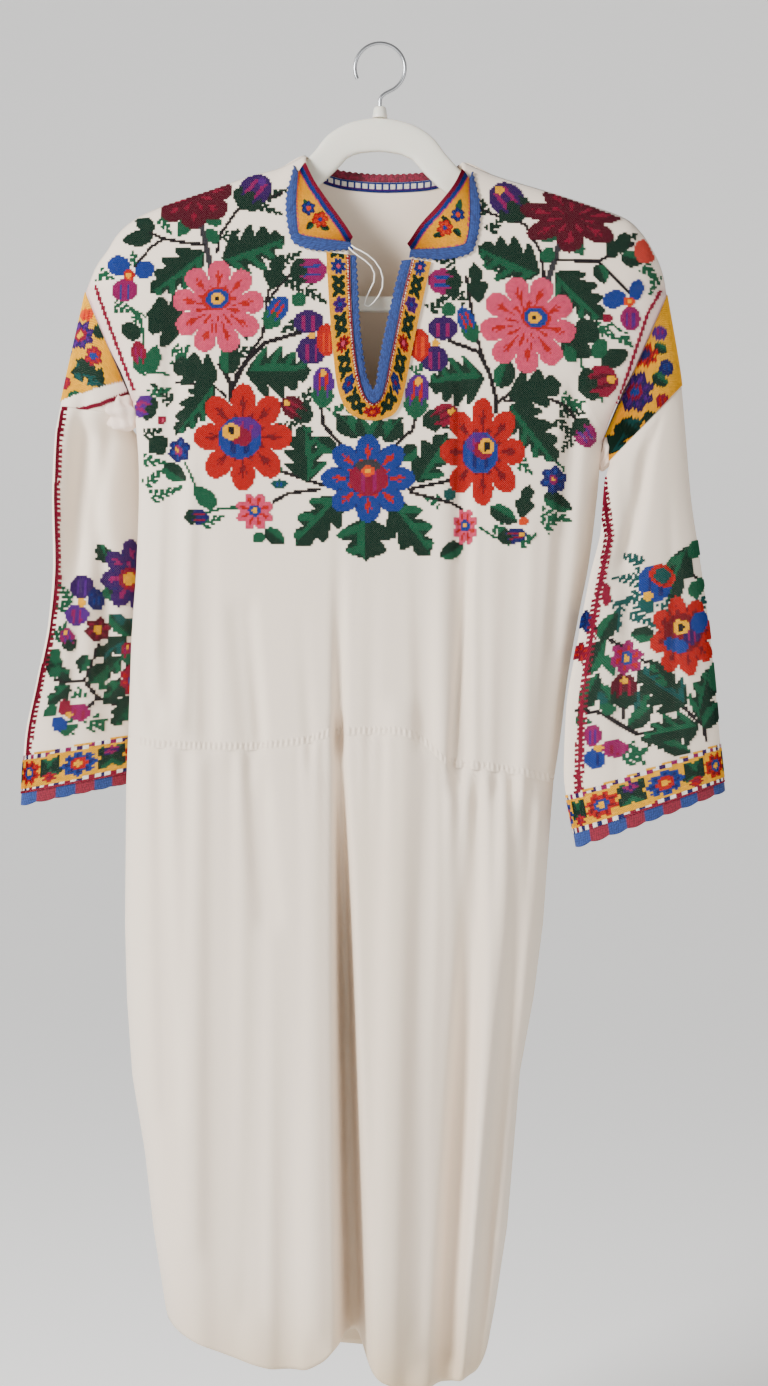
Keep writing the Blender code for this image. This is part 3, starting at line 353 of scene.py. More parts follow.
def folds(table, x, z):
    """Sum of the long folds: each is a flat-bottomed groove along a straight line, fading at its ends. Its
    depth grows down its length and its section is exp(-|offset / width| cubed)."""
    total = np.zeros(np.broadcast(x, z).shape)
    for x_top, z_top, x_bottom, z_bottom, width_top, width_bottom, depth_top, depth_bottom, growth in table:
        inside = np.clip((z_top - z) / (z_top - z_bottom), 0.0, 1.0)
        grown = np.clip(inside / growth, 0.0, 1.0)
        depth = depth_top + (depth_bottom - depth_top) * grown * grown * (3 - 2 * grown)
        width = width_top + (width_bottom - width_top) * inside
        fade = np.clip(1 - np.maximum(z - z_top, z_bottom - z) / FOLD_FADE, 0.0, 1.0)
        offset = (x - x_top - (x_bottom - x_top) * inside) / width
        total = total + depth * fade * fade * (3 - 2 * fade) * np.exp(-np.abs(offset) ** 3)
    return total


def front_y(x, z):
    """The front's depth over x and z: the rounded body, its long folds and its fine creases."""
    pressed = folds(FRONT_FOLDS, x, z) + folds(FRONT_CREASES, x, z)
    return -half_depth(x, z, at_height(FULLNESS, z, 1)) + pressed * side_rounding(x, z) - SEAM_GAP / 2


def waist(x):
    """Height of the front's waist seam over x."""
    return smooth(*columns(WAIST_SEAM), x)


def even_steps(points, count):
    """The curve through the points, cut into equal lengths."""
    length = line_length(points)
    at = np.linspace(0, length[-1], count)
    return np.stack([np.interp(at, length, points[:, k]) for k in range(3)], -1)


def coons(left, right, top, bottom, u, v):
    """Blend of four border curves of a panel, in x and z, at the shares u across and v down: the two ruled
    surfaces between opposite borders, less the one between the corners."""
    corners = (1 - u) * (1 - v) * top[0] + u * (1 - v) * top[-1]
    corners = corners + (1 - u) * v * bottom[0] + u * v * bottom[-1]
    share = np.linspace(0, 1, len(top))
    at_top, at_bottom, at_left, at_right = (
        np.stack([np.interp(place[..., 0], share, curve[:, k]) for k in (0, 1)], -1)
        for curve, place in ((top, u), (bottom, u), (left, v), (right, v))
    )
    return (1 - v) * at_top + v * at_bottom + (1 - u) * at_left + u * at_right - corners


def panel_rows(left, right, top, bottom, v_levels, surface, count):
    """Rows of points down a panel: the blend of its borders, laid on the surface, each row spaced evenly
    along the cloth, folds and all."""
    u, v = np.meshgrid(np.linspace(0, 1, BORDER_STEPS), v_levels)
    flat = coons(left, right, top, bottom, u[..., None], v[..., None])
    points = np.stack([flat[..., 0], surface(flat[..., 0], flat[..., 1]), flat[..., 1]], -1)
    return np.array([even_steps(row, count) for row in points])


def border(path):
    """A panel's border as evenly spaced points."""
    return along(path, np.linspace(0, 1, BORDER_STEPS))


def border_through(upper, lower, share):
    """A border that reaches its middle point at the given share of the panel's height."""
    upper_steps = int(round(BORDER_STEPS * share))
    lower_points = along(lower, np.linspace(0, 1, BORDER_STEPS - upper_steps + 1))
    return np.concatenate([along(upper, np.linspace(0, 1, upper_steps)), lower_points[1:]])


def waist_border(x_start, x_end, seam):
    """A panel's lower border along the waist seam."""
    x = np.linspace(x_start, x_end, BORDER_STEPS)
    return np.stack([x, seam(x)], -1)


def grid_faces(rows, cols, closed=False):
    """Quads of a grid of points. On a grid laid left to right and down they face away from +Y."""
    i, j = np.meshgrid(np.arange(rows - 1), np.arange(cols if closed else cols - 1), indexing="ij")
    a, b = i * cols + j, i * cols + (j + 1) % cols
    return np.stack([a, a + cols, b + cols, b], -1).reshape(-1, 4)


def mesh_piece(name, points, faces, material, sharp=None):
    """A mesh in millimetres as an object at the origin, smoothly shaded."""
    mesh = bpy.data.meshes.new(name)
    faces = np.asarray(faces)
    mesh.vertices.add(len(points))
    mesh.vertices.foreach_set("co", (np.asarray(points, float) * MM).ravel())
    mesh.loops.add(faces.size)
    mesh.loops.foreach_set("vertex_index", faces.ravel().astype(np.int32))
    mesh.polygons.add(len(faces))
    mesh.polygons.foreach_set("loop_start", np.arange(0, faces.size, faces.shape[1], dtype=np.int32))
    mesh.update(calc_edges=True)
    mesh.validate()
    mesh.shade_smooth()
    if sharp is not None:
        mesh.set_sharp_from_angle(angle=math.radians(sharp))
    mesh.materials.append(material)
    obj = bpy.data.objects.new(name, mesh)
    bpy.context.scene.collection.objects.link(obj)
    return obj


def add_wall(obj, thickness):
    """The cloth's thickness, inwards from its outer face."""
    wall = obj.modifiers.new("wall", "SOLIDIFY")
    wall.thickness = thickness * MM
    wall.offset = -1.0
    wall.use_even_offset = False


def set_cloth_map(obj, across_mm, down_mm):
    """The piece's UV map in millimetres along the cloth, so that the weave keeps its thread spacing."""
    loops = np.empty(len(obj.data.loops), np.int32)
    obj.data.loops.foreach_get("vertex_index", loops)
    uv = np.stack([np.ravel(across_mm), np.ravel(down_mm)], -1)[loops]
    obj.data.uv_layers.new(name="cloth_mm").data.foreach_set("uv", uv.ravel())


def cloth_lengths(grid):
    """Distances along the cloth of a grid: across it from its middle, and down it from its first row."""
    steps_across = np.linalg.norm(np.diff(grid, axis=1), axis=-1)
    steps_down = np.linalg.norm(np.diff(grid, axis=0), axis=-1)
    across_mm = np.concatenate([np.zeros((grid.shape[0], 1)), np.cumsum(steps_across, axis=1)], axis=1)
    down_mm = np.concatenate([np.zeros((1, grid.shape[1])), np.cumsum(steps_down, axis=0)], axis=0)
    return across_mm - across_mm[:, -1:] / 2, down_mm


def set_share(obj, name, values):
    """A number for each point of a piece, read by its material."""
    attribute = obj.data.attributes.new(name, "FLOAT", "POINT")
    attribute.data.foreach_set("value", np.ravel(values).astype(np.float32))


def set_cloth(obj, lengths, bleed, painted_tint_and_shade):
    """A piece's weave map, and its shares of bled dye and of the painted light tint and shade."""
    set_cloth_map(obj, *lengths)
    for name, values in (("bleed", bleed), ("painted_tint_and_shade", painted_tint_and_shade)):
        set_share(obj, name, np.broadcast_to(np.ravel(values), len(obj.data.vertices)))


def maths(material, operation, first, second):
    """The output of a sum, product or comparison of two outputs or values."""
    return add_node(material, "ShaderNodeMath", {"operation": operation}, _0=first, _1=second).outputs[0]


def mixed(material, factor, first, second, blend="MIX"):
    """The output of a blend of two colours, each an output or a hex value."""
    first, second = ((*linear(c), 1.0) if isinstance(c, str) else c for c in (first, second))
    settings = {"data_type": "RGBA", "blend_type": blend}
    return add_node(material, "ShaderNodeMix", settings, Factor=factor, _6=first, _7=second).outputs[2]


def share_of(material, name):
    """The output of a number that the mesh holds for each of its points."""
    return add_node(material, "ShaderNodeAttribute", {"attribute_name": name}).outputs["Fac"]


def linen_material():
    """Plain-woven linen, washed soft: matt, with a fine two-way weave, uneven thicker threads, a faint
    painted yellowish tint where it is lit through, painted shade that darkens it towards the hem, and pink
    where the crimson thread has bled."""
    sheen = {"Sheen_Weight": LINEN_SHEEN, "Sheen_Roughness": 0.5}
    material, shader = new_material("washed_linen", LINEN, 0.92, **sheen)
    uv = add_node(material, "ShaderNodeUVMap", {"uv_map": "cloth_mm"}).outputs["UV"]
    place = add_node(material, "ShaderNodeTexCoord").outputs["Object"]
    warp, weft = (
        add_node(
            material,
            "ShaderNodeTexWave",
            {"wave_type": "BANDS", "bands_direction": direction},
            Vector=uv,
            Scale=1 / LINEN_THREAD / 2,
            Distortion=0.6,
            Detail=1.0,
        ).outputs["Fac"]
        for direction in ("X", "Y")
    )
    stretched = add_node(material, "ShaderNodeMapping", Vector=uv, Scale=(0.9, 0.06, 1.0)).outputs["Vector"]
    slubs = add_node(material, "ShaderNodeTexNoise", Vector=stretched, Scale=1.0, Detail=3.0).outputs["Fac"]
    mottle = add_node(material, "ShaderNodeTexNoise", Vector=place, Scale=14.0, Detail=4.0).outputs["Fac"]
    relief = maths(material, "ADD", maths(material, "ADD", warp, weft), slubs)
    # Painted light tint and painted shade, mixed into the linen's colour by the mesh's share.
    tone = mixed(material, share_of(material, "painted_tint_and_shade"), LINEN, LINEN_PAINTED_TINT_AND_SHADE)
    uneven = maths(material, "MULTIPLY", share_of(material, "bleed"), mottle)
    dyed = mixed(material, uneven, tone, DYE_BLEED)
    material.node_tree.links.new(dyed, shader.inputs["Base Color"])
    add_relief(material, shader, relief, 0.35, 0.25)
    return material


linen = linen_material()

FRONT_ROWS = 156
FRONT_COLUMNS = 68


def side_borders():
    """Side and shoulder borders that the front and the back share."""
    side_left = [(x, z) for z, x in OUTLINE_LEFT[TIP_ROW:] if z > WAIST_LEFT_Z]
    side_right = [(x, z) for z, x in OUTLINE_RIGHT[TIP_ROW:] if z > WAIST_RIGHT_Z]
    side_left.append((float(left_edge(WAIST_LEFT_Z)), WAIST_LEFT_Z))
    side_right.append((float(right_edge(WAIST_RIGHT_Z)), WAIST_RIGHT_Z))
    shoulder_left = [(x, z) for z, x in OUTLINE_LEFT[: TIP_ROW + 1][::-1]]
    shoulder_right = [(x, z) for z, x in OUTLINE_RIGHT[: TIP_ROW + 1]]
    return side_left, side_right, shoulder_left, shoulder_right


def close_side(column):
    """Brings a panel's side column to the middle plane below the armhole, where front and back are sewn."""
    underarm = (OUTLINE_LEFT if column[0, 0] < 0 else OUTLINE_RIGHT)[UNDERARM_ROW][0]
    column[column[:, 2] < underarm - 1.0, 1] = 0.0


def front_grids(rows, count):
    """The front body panel as two blended patches that part at the slit and share the line below it."""
    above = int(round(rows * SLIT_FOOT_SHARE))
    levels = np.concatenate(
        [np.linspace(0, SLIT_FOOT_SHARE, above), np.linspace(SLIT_FOOT_SHARE, 1, rows - above + 1)[1:]]
    )
    side_left, side_right, shoulder_left, shoulder_right = side_borders()
    centre = [SLIT_FOOT, CENTRE_AT_WAIST]
    opening_left = border_through(NECKLINE_LEFT + SLIT_LEFT[1:] + [SLIT_FOOT], centre, SLIT_FOOT_SHARE)
    opening_right = border_through(NECKLINE_RIGHT + SLIT_RIGHT[1:] + [SLIT_FOOT], centre, SLIT_FOOT_SHARE)
    seam_left = waist_border(side_left[-1][0], CENTRE_AT_WAIST[0], waist)
    seam_right = waist_border(CENTRE_AT_WAIST[0], side_right[-1][0], waist)
    left_borders = (border(side_left), opening_left, border(shoulder_left), seam_left)
    right_borders = (opening_right, border(side_right), border(shoulder_right), seam_right)
    left = panel_rows(*left_borders, levels, front_y, count)
    right = panel_rows(*right_borders, levels, front_y, count)
    right[above:, 0] = left[above:, -1]
    for grid in (left, right):
        grid[-1, :, 2] = waist(grid[-1, :, 0])
        grid[0, :, 1] = -SEAM_GAP / 2
    close_side(left[:, 0])
    close_side(right[:, -1])
    return left, right, above


BLEED_REACH = 7.0
# Where the painted light tint over the skirt's middle lies, and the top of the painted shade at the hem.
PAINTED_TINT_MIDDLE = -4.0
PAINTED_TINT_HALF_WIDTH = 34.0
PAINTED_TINT_TOP = -640.0
HEM_PAINTED_SHADE_TOP = -1130.0


def armhole_bleed(points):
    """Share of dye in the cloth beside the armhole seams: it falls off with the distance from the seam, the
    straight line from the shoulder tip to the underarm."""
    share = np.zeros(points.shape[:-1])
    for outline in (OUTLINE_LEFT, OUTLINE_RIGHT):
        (z0, x0), (z1, x1) = outline[TIP_ROW], outline[UNDERARM_ROW]
        run = np.array([x1 - x0, z1 - z0])
        offset = points[..., [0, 2]] - np.array([x0, z0])
        at = np.clip(offset @ run / (run @ run), 0.0, 1.0)
        distance = np.linalg.norm(offset - at[..., None] * run, axis=-1)
        share = np.maximum(share, np.exp(-distance / BLEED_REACH))
    return share


def painted_tint_and_hem_shade(points):
    """Share of painted light and shade: a tall faint patch of painted tint over the skirt's middle, where
    light comes through the cloth, and painted shade that grows towards the hem.
    """
    x, z = points[..., 0], points[..., 2]
    patch = np.exp(-(((x - PAINTED_TINT_MIDDLE) / PAINTED_TINT_HALF_WIDTH) ** 4))
    down = np.clip((PAINTED_TINT_TOP - z) / 120.0, 0.0, 1.0)
    return 0.16 * patch * down + 0.75 * np.clip((HEM_PAINTED_SHADE_TOP - z) / 130.0, 0.0, 1.0) ** 2


def linen_piece(name, grids, shared, faces_out, replaced):
    """A linen panel from one grid, or from two that share the points of their meeting columns, with its
    wall, its weave map and its shares of dye and warmth."""
    points = np.concatenate([grid.reshape(-1, 3) for grid in grids])
    faces, maps, first = [], [], 0
    for grid in grids:
        faces.append(grid_faces(*grid.shape[:2]) + first)
        maps.append(np.stack(cloth_lengths(grid), -1).reshape(-1, 2))
        first += grid.shape[0] * grid.shape[1]
    faces, maps = np.concatenate(faces), np.concatenate(maps)
    if shared is not None:
        kept, merged = shared
        index = np.arange(len(points))
        index[merged] = kept
        used, faces = np.unique(index[faces], return_inverse=True)
        faces = faces.reshape(-1, 4)
        points, maps = points[used], maps[used]
    obj = mesh_piece(name, points, faces if faces_out else faces[:, ::-1], linen)
    # Dye bled by the armholes, and the painted light tint and hem shade.
    set_cloth(obj, maps.T, armhole_bleed(points), painted_tint_and_hem_shade(points))
    add_wall(obj, CLOTH)
    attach(obj, "root")
    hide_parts(*replaced)
    return obj


front_left, front_right, slit_rows = front_grids(FRONT_ROWS, FRONT_COLUMNS)
left_index = np.arange(FRONT_ROWS * FRONT_COLUMNS).reshape(FRONT_ROWS, FRONT_COLUMNS)
linen_piece(
    "front_panel",
    (front_left, front_right),
    (left_index[slit_rows - 1 :, -1], left_index[slit_rows - 1 :, 0] + left_index.size),
    True,
    ["bodice_front"],
)


# Back body panel: the same linen, cut without a slit, with a shallow hollow at the neck. Nothing is known
# of it but what the front tells, so it hangs in a few broad folds.
BACK_NECKLINE = [
    NECK_LEFT, (-58.4, -116.6), (-30.3, -124.6), (5, -127.1), (40.3, -125.7), (68.4, -118.9), NECK_RIGHT,
]
BACK_FOLDS = [
    # x_top, z_top, x_bottom, z_bottom, width_top, width_bottom, depth_top, depth_bottom, growth share
    (-150, -260, -160, -640, 10, 12, 3, 7, 1),
    (-60, -380, -70, -660, 12, 12, 2, 6, 1),
    (25, -330, 20, -670, 10, 10, 3, 8, 1),
    (120, -300, 110, -680, 10, 12, 4, 6, 1),
    (-170, -690, -140, -1262, 10, 12, 4, 20, 0.7),
    (-95, -700, -85, -1262, 8, 11, 3, 14, 0.7),
    (40, -690, 28, -1262, 9, 12, 6, 24, 0.7),
    (105, -720, 70, -1262, 8, 10, 4, 16, 0.7),
]
BACK_CREASES = [
    # x_top, z_top, x_bottom, z_bottom, width_top, width_bottom, depth_top, depth_bottom, growth share
    (-205, -330, -212, -560, 8, 7, 1, 2.5, 1),
    (-110, -420, -116, -650, 7, 8, -1, -2.4, 1),
    (-22, -500, -26, -660, 7, 6, 0.6, 2.2, 1),
    (70, -380, 66, -670, 8, 7, -0.8, -2.4, 1),
    (160, -340, 150, -600, 7, 6, 1, 3, 1),
    (-130, -760, -120, -1150, 9, 12, -2, -4, 1),
    (-30, -820, -34, -1200, 10, 12, 1.5, 4, 1),
    (75, -800, 52, -1180, 8, 9, -2, -4, 1),
]
BACK_ROWS = 120
BACK_PANEL_COLUMNS = 104


def back_y(x, z):
    """The back's depth over x and z, as the front's with its own folds."""
    pressed = folds(BACK_FOLDS, x, z) + folds(BACK_CREASES, x, z)
    return half_depth(x, z, at_height(FULLNESS, z, 2)) - pressed * side_rounding(x, z) + SEAM_GAP / 2


def back_waist(x):
    """The waist seam at the back runs straight from side to side."""
    ends = [left_edge(WAIST_LEFT_Z), right_edge(WAIST_RIGHT_Z)]
    return np.interp(x, ends, [WAIST_LEFT_Z, WAIST_RIGHT_Z])


def back_grid(rows, count):
    """The back body panel as one blended patch with the back neckline in its top border."""
    side_left, side_right, shoulder_left, shoulder_right = side_borders()
    top = border(shoulder_left + BACK_NECKLINE[1:-1] + shoulder_right)
    bottom = waist_border(side_left[-1][0], side_right[-1][0], back_waist)
    levels = np.linspace(0, 1, rows)
    grid = panel_rows(border(side_left), border(side_right), top, bottom, levels, back_y, count)
    on_shoulder = (grid[0, :, 0] <= NECK_LEFT[0]) | (grid[0, :, 0] >= NECK_RIGHT[0])
    grid[0, on_shoulder, 1] = SEAM_GAP / 2
    close_side(grid[:, 0])
    close_side(grid[:, -1])
    return grid


back_rows = back_grid(BACK_ROWS, BACK_PANEL_COLUMNS)
linen_piece("back_panel", (back_rows,), None, False, ["bodice_back"])


# Skirt: two linen panels gathered into the waist seam, closed at the sides. The front one falls into a deep
# fold down its middle and two troughs on the right, and its hem is turned up.
FRONT_HEM = [
    # x, z
    (-206, -1190), (-199, -1203), (-180, -1215), (-146, -1229), (-118, -1238),
    (-92, -1243), (-72, -1243), (-54, -1236), (-38, -1223), (-24, -1222),
    (-14, -1237), (-6, -1246), (2, -1252), (20, -1258), (60, -1260), (88, -1254),
    (100, -1236), (106, -1215),
]
BACK_HEM = [
    # x, z
    (-206, -1190), (-199, -1203), (-180, -1215), (-146, -1229), (-92, -1241),
    (0, -1250), (60, -1256), (88, -1250), (100, -1236), (106, -1215),
]
FRONT_GATHERS = [
    # x_start, x_end, pitch, depth, length
    (-222, -165, 27, 3.6, 75),
    (-150, -104, 20, 2.6, 70),
    (-84, -46, 12.5, 1.9, 40),
    (-30, 22, 13, 1.9, 40),
    (48, 152, 17, 4, 75),
]
BACK_GATHERS = [
    # x_start, x_end, pitch, depth, length
    (-210, -60, 22, 2.4, 50),
    (-40, 140, 19, 2.6, 55),
]
FRONT_FOLD_AT_HEM = -23.5
BACK_FOLD_AT_WAIST = -30.0
BACK_FOLD_AT_HEM = 12.0
SEAM_TUCK = 2.0
SKIRT_ROWS = 144
SKIRT_COLUMNS = 136


def hem(x, facing):
    """Height of the hem over x, in front where facing is -1 and at the back where it is 1."""
    return smooth(*columns(FRONT_HEM if facing < 0 else BACK_HEM), x)


def gathers(table, x, drop):
    """Small waves below the seam: a cosine across, an exponential down. The stitches hold them flatter."""
    total = np.zeros(np.broadcast(x, drop).shape)
    for x_start, x_end, pitch, depth, length in table:
        window = np.clip((x - x_start) / pitch, 0, 1) * np.clip((x_end - x) / pitch, 0, 1)
        wave = np.cos(2 * math.pi * (x - x_start) / pitch)
        total = total + depth * window * wave * np.exp(-np.maximum(drop, 0.0) / length)
    return total * (0.3 + 0.7 * np.clip(drop / 14.0, 0.0, 1.0))


def skirt_points(x, v, seam, surface, waves, facing):
    """Points of a skirt panel at a share v of the way from the seam to the hem, gathers included."""
    z = (1 - v) * (seam(x) + SEAM_TUCK) + v * hem(x, facing)
    drop = seam(x) - z
    tucked = 1.1 * CLOTH * np.clip(1 - drop / 6.0, 0.0, 1.0)
    y = surface(x, z) + facing * (gathers(waves, x, drop) - tucked) * side_rounding(x, z)
    return np.stack([x, y, z], -1)


def skirt_grid(rows, count, fold_x_top, seam, surface, waves, fold_line, facing):
    """A skirt panel in two stretches, left and right of its main fold, so that a column follows it."""
    grid = []
    for v in np.linspace(0, 1, rows):
        fold_x = fold_x_top + (fold_line - fold_x_top) * v
        z_left = (1 - v) * (WAIST_LEFT_Z - SEAM_GAP) + v * FRONT_HEM[0][1]
        z_right = (1 - v) * (WAIST_RIGHT_Z - SEAM_GAP) + v * FRONT_HEM[-1][1]
        stretches = []
        for x0, x1 in ((left_edge(z_left), fold_x), (fold_x, right_edge(z_right))):
            x = np.linspace(x0, x1, BORDER_STEPS)
            stretches.append(even_steps(skirt_points(x, v, seam, surface, waves, facing), count))
        grid.append(np.concatenate([stretches[0], stretches[1][1:]]))
    grid = np.array(grid)
    grid[:, [0, -1], 1] = 0.0
    return grid


skirt_front = skirt_grid(
    SKIRT_ROWS, SKIRT_COLUMNS // 2, CENTRE_AT_WAIST[0],
    waist, front_y, FRONT_GATHERS, FRONT_FOLD_AT_HEM, -1,
)
linen_piece(
    "skirt_front_panel", (skirt_front,), None, True, ["skirt_front"],
)
skirt_back = skirt_grid(
    SKIRT_ROWS * 3 // 4, SKIRT_COLUMNS * 3 // 8, BACK_FOLD_AT_WAIST,
    back_waist, back_y, BACK_GATHERS, BACK_FOLD_AT_HEM, 1,
)
linen_piece(
    "skirt_back_panel", (skirt_back,), None, False, ["skirt_back"],
)


# Waist seam: the gathered top of the skirt sewn under the body's edge, and drawn up into fine even pleats
# by a row of stitches. It is the same linen, and stands a little proud of both panels.
SEAM_HALF_HEIGHT = 4.6
SEAM_PLEAT = 4.8
SEAM_PLEAT_DEPTH = 0.55
SEAM_ROWS = 9
SEAM_COLUMNS = 560


def seam_roll(seam, surface, facing):
    """Points of the seam's roll: a parabola across it, and a cosine of the pleats along it. The pleats fade
    towards its two edges."""
    ends = (left_edge(WAIST_LEFT_Z) + 4.0, right_edge(WAIST_RIGHT_Z) - 4.0)
    x = np.linspace(*ends, SEAM_COLUMNS)[None]
    across_roll = np.linspace(1, -1, SEAM_ROWS)[:, None]
    z = seam(x) + SEAM_HALF_HEIGHT * across_roll
    bulge = 1 - across_roll**2
    pleats = SEAM_PLEAT_DEPTH * np.cos(2 * math.pi * x / SEAM_PLEAT + 0.7 * np.sin(x / 9.0))
    y = surface(x + 0 * z, z) + facing * ((0.75 + pleats) * bulge - 0.35)
    return np.stack([x + 0 * z, y, z], -1)


for side, seam, surface, facing in (("front", waist, front_y, -1), ("back", back_waist, back_y, 1)):
    roll = seam_roll(seam, surface, facing)
    faces = grid_faces(*roll.shape[:2])[:, :: -facing]
    seam_piece = mesh_piece(f"waist_seam_{side}", roll.reshape(-1, 3), faces, linen)
    # The seam takes the painted light tint of the panels beside it.
    set_cloth(seam_piece, cloth_lengths(roll), 0.0, painted_tint_and_hem_shade(roll))
    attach(seam_piece, "root")


# Sleeves: linen tubes set into the armholes with an embroidered band over the shoulder, and a crocheted
# edge of square blocks round each wrist.
SLEEVE_LEFT = [
    # outer x, y, z, inner x, y, z, half depth
    (-279, 0, -233, -235, 0, -339, 18),
    (-304, 2, -344, -243, 7, -352, 17),
    (-310, 6, -375, -227, 33, -381, 15),
    (-313, 10, -432, -220, 46, -437, 14),
    (-312, 10, -489, -214, 50, -491, 14),
    (-316, 8, -546, -209, 52, -544, 15),
    (-327, 6, -603, -205, 54, -596, 16),
    (-338, 4, -660, -201, 57, -643, 17),
    (-341, 2, -711, -198, 58, -684, 18),
]
SLEEVE_RIGHT = [
    # outer x, y, z, inner x, y, z, half depth
    (272, 0, -236, 212, 0, -375, 18),
    (286, -3, -324, 217, -12, -396, 17),
    (289, -8, -367, 212, -24, -415, 15),
    (294, -12, -432, 207, -32, -462, 14),
    (301, -14, -482, 196, -34, -508, 14),
    (309, -14, -539, 185, -34, -566, 15),
    (316, -14, -603, 174, -34, -632, 16),
    (321, -14, -660, 172, -33, -689, 17),
    (325, -14, -699, 181, -32, -747, 18),
]
BAND_SECTION = 1.0
SLEEVE_FOLDS_LEFT = [
    # share across the front at the top and bottom, first and last section, half width, depth
    (0.35, 0.60, 1.2, 7.6, 0.09, 7),
    (0.75, 0.30, 1, 4, 0.08, 4),
    (0.20, 0.35, 3, 7.9, 0.05, 2.2),
    (0.82, 0.78, 3.4, 7.8, 0.05, 2.6),
    (0.38, 0.16, 0.6, 5, 0.12, 17),
]
SLEEVE_FOLDS_RIGHT = [
    # share across the front at the top and bottom, first and last section, half width, depth
    (0.45, 0.80, 1.2, 4.6, 0.09, 7),
    (0.80, 0.45, 1.6, 7.8, 0.08, 4),
    (0.25, 0.30, 2.6, 7.9, 0.05, 2.4),
    (0.62, 0.66, 4.6, 7.9, 0.05, 2.4),
    (0.30, 0.62, 1, 3, 0.05, 2.2),
]
SLEEVE_RINGS = 116
RING_POINTS = 80
EDGING_SECTIONS = 0.24
EDGING_ROWS = 12
CUFF_BLOCK = 18.0
TRIM_THICKNESS = 2.0
CROCHET_STITCH = 2.2
CROCHET_BLUE = "#1E3C80"
CROCHET_BLUE_DARK = "#182F6C"
CROCHET_CRIMSON = "#860F2C"


def sleeve_rings(table, fold_table, sections, count):
    """Points round a sleeve at section numbers: ellipses on the line from the outer to the inner end, with
    grooves of Gaussian section that wander across the front and fade towards their ends."""
    numbers = np.arange(len(table))
    outer_x, outer_y, outer_z, inner_x, inner_y, inner_z, depth = (
        smooth(numbers, column, sections) for column in columns(table)
    )
    turn = np.linspace(0, 2 * math.pi, count, endpoint=False)
    share = (1 - np.cos(turn)) / 2
    outer = np.stack([outer_x, outer_y, outer_z], -1)[:, None]
    inner = np.stack([inner_x, inner_y, inner_z], -1)[:, None]
    points = outer + (inner - outer) * share[None, :, None]
    points[..., 1] -= np.sin(turn) * depth[:, None]
    for share_top, share_bottom, first, last, width, fold_depth in fold_table:
        run = np.clip((np.asarray(sections) - first) / (last - first), 0.0, 1.0)[:, None]
        centre = share_top + (share_bottom - share_top) * run
        groove = np.exp(-(((share - centre) / width) ** 2)) * np.clip(3 * np.sin(turn), 0.0, 1.0)
        points[..., 1] += fold_depth * np.sin(math.pi * run) * groove
    return points


def extended(table):
    """A sleeve's sections with one more, as far on as the last two are apart."""
    return table + [tuple(2 * np.array(table[-1]) - np.array(table[-2]))]


def tube_lengths(rings):
    """Distances round and down a tube, measured along the cloth."""
    closed = np.concatenate([rings, rings[:, :1]], axis=1)
    round_mm, down_mm = cloth_lengths(closed)
    return round_mm[:, :-1], down_mm[:, :-1]


def tube_piece(name, rings, left, thickness, material, replaced):
    """A tube of cloth through closed rings of points, with its wall and its map."""
    faces = grid_faces(*rings.shape[:2], closed=True)
    points = rings.reshape(-1, 3)
    obj = mesh_piece(name, points, faces if left else faces[:, ::-1], material)
    set_cloth(obj, tube_lengths(rings), armhole_bleed(points), 0.0)
    add_wall(obj, thickness)
    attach(obj, "root")
    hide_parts(replaced)
    return obj


def crochet_material(name, colour, second, second_share=0.0):
    """Crocheted cotton: rows of small rounded stitches, with painted shade darkening each stitch towards
    the gaps between them. A second colour is worked into a share of the stitches, and into all of them
    where the attribute second_yarn is one."""
    material, shader = new_material(name, colour, 0.85, Sheen_Weight=0.12)
    uv = add_node(material, "ShaderNodeUVMap", {"uv_map": "cloth_mm"}).outputs["UV"]
    stitches = add_node(
        material, "ShaderNodeTexVoronoi", {"feature": "F1"}, Vector=uv, Scale=1 / CROCHET_STITCH,
        Randomness=0.35,
    )
    stitch_rise_and_painted_shade = add_node(
        material, "ShaderNodeMapRange", Value=stitches.outputs["Distance"], From_Min=0.25, From_Max=0.7,
        To_Min=1.0, To_Max=0.45,
    ).outputs[0]
    pick = add_node(material, "ShaderNodeSeparateColor", Color=stitches.outputs["Color"]).outputs[0]
    some = maths(material, "LESS_THAN", pick, second_share)
    second_on = maths(material, "MAXIMUM", some, share_of(material, "second_yarn"))
    # Painted shade: each stitch's colour is darkened towards its edges, where the gaps between stitches
    # lie.
    shaded = mixed(material, 1.0, mixed(material, second_on, colour, second), stitch_rise_and_painted_shade, "MULTIPLY")
    material.node_tree.links.new(shaded, shader.inputs["Base Color"])
    add_relief(material, shader, stitch_rise_and_painted_shade, 0.8, 0.8)
    return material


def cuff_rings(table, count):
    """Rings of the crocheted cuff and the number of the block each point lies in. The lower edge bulges a
    little below each block, by a sine's height."""
    last = len(table) - 1.0
    first = sleeve_rings(extended(table), [], np.array([last + 0.005]), count)[0]
    end = sleeve_rings(extended(table), [], np.array([last + EDGING_SECTIONS]), count)[0]
    girth = np.linalg.norm(np.roll(first, -1, axis=0) - first, axis=1)
    round_mm = np.concatenate([[0.0], np.cumsum(girth)[:-1]])
    blocks = 2 * round(girth.sum() / CUFF_BLOCK / 2)
    at = round_mm / girth.sum() * blocks
    reach = 1 - 0.14 * (1 - np.abs(np.sin(math.pi * at)))
    share = np.linspace(0, 1, EDGING_ROWS)[:, None] * reach
    return first + (end - first) * share[..., None], np.broadcast_to(at, share.shape)


cuff_crochet = crochet_material("cotton_crochet_cuff", CROCHET_BLUE, CROCHET_CRIMSON)

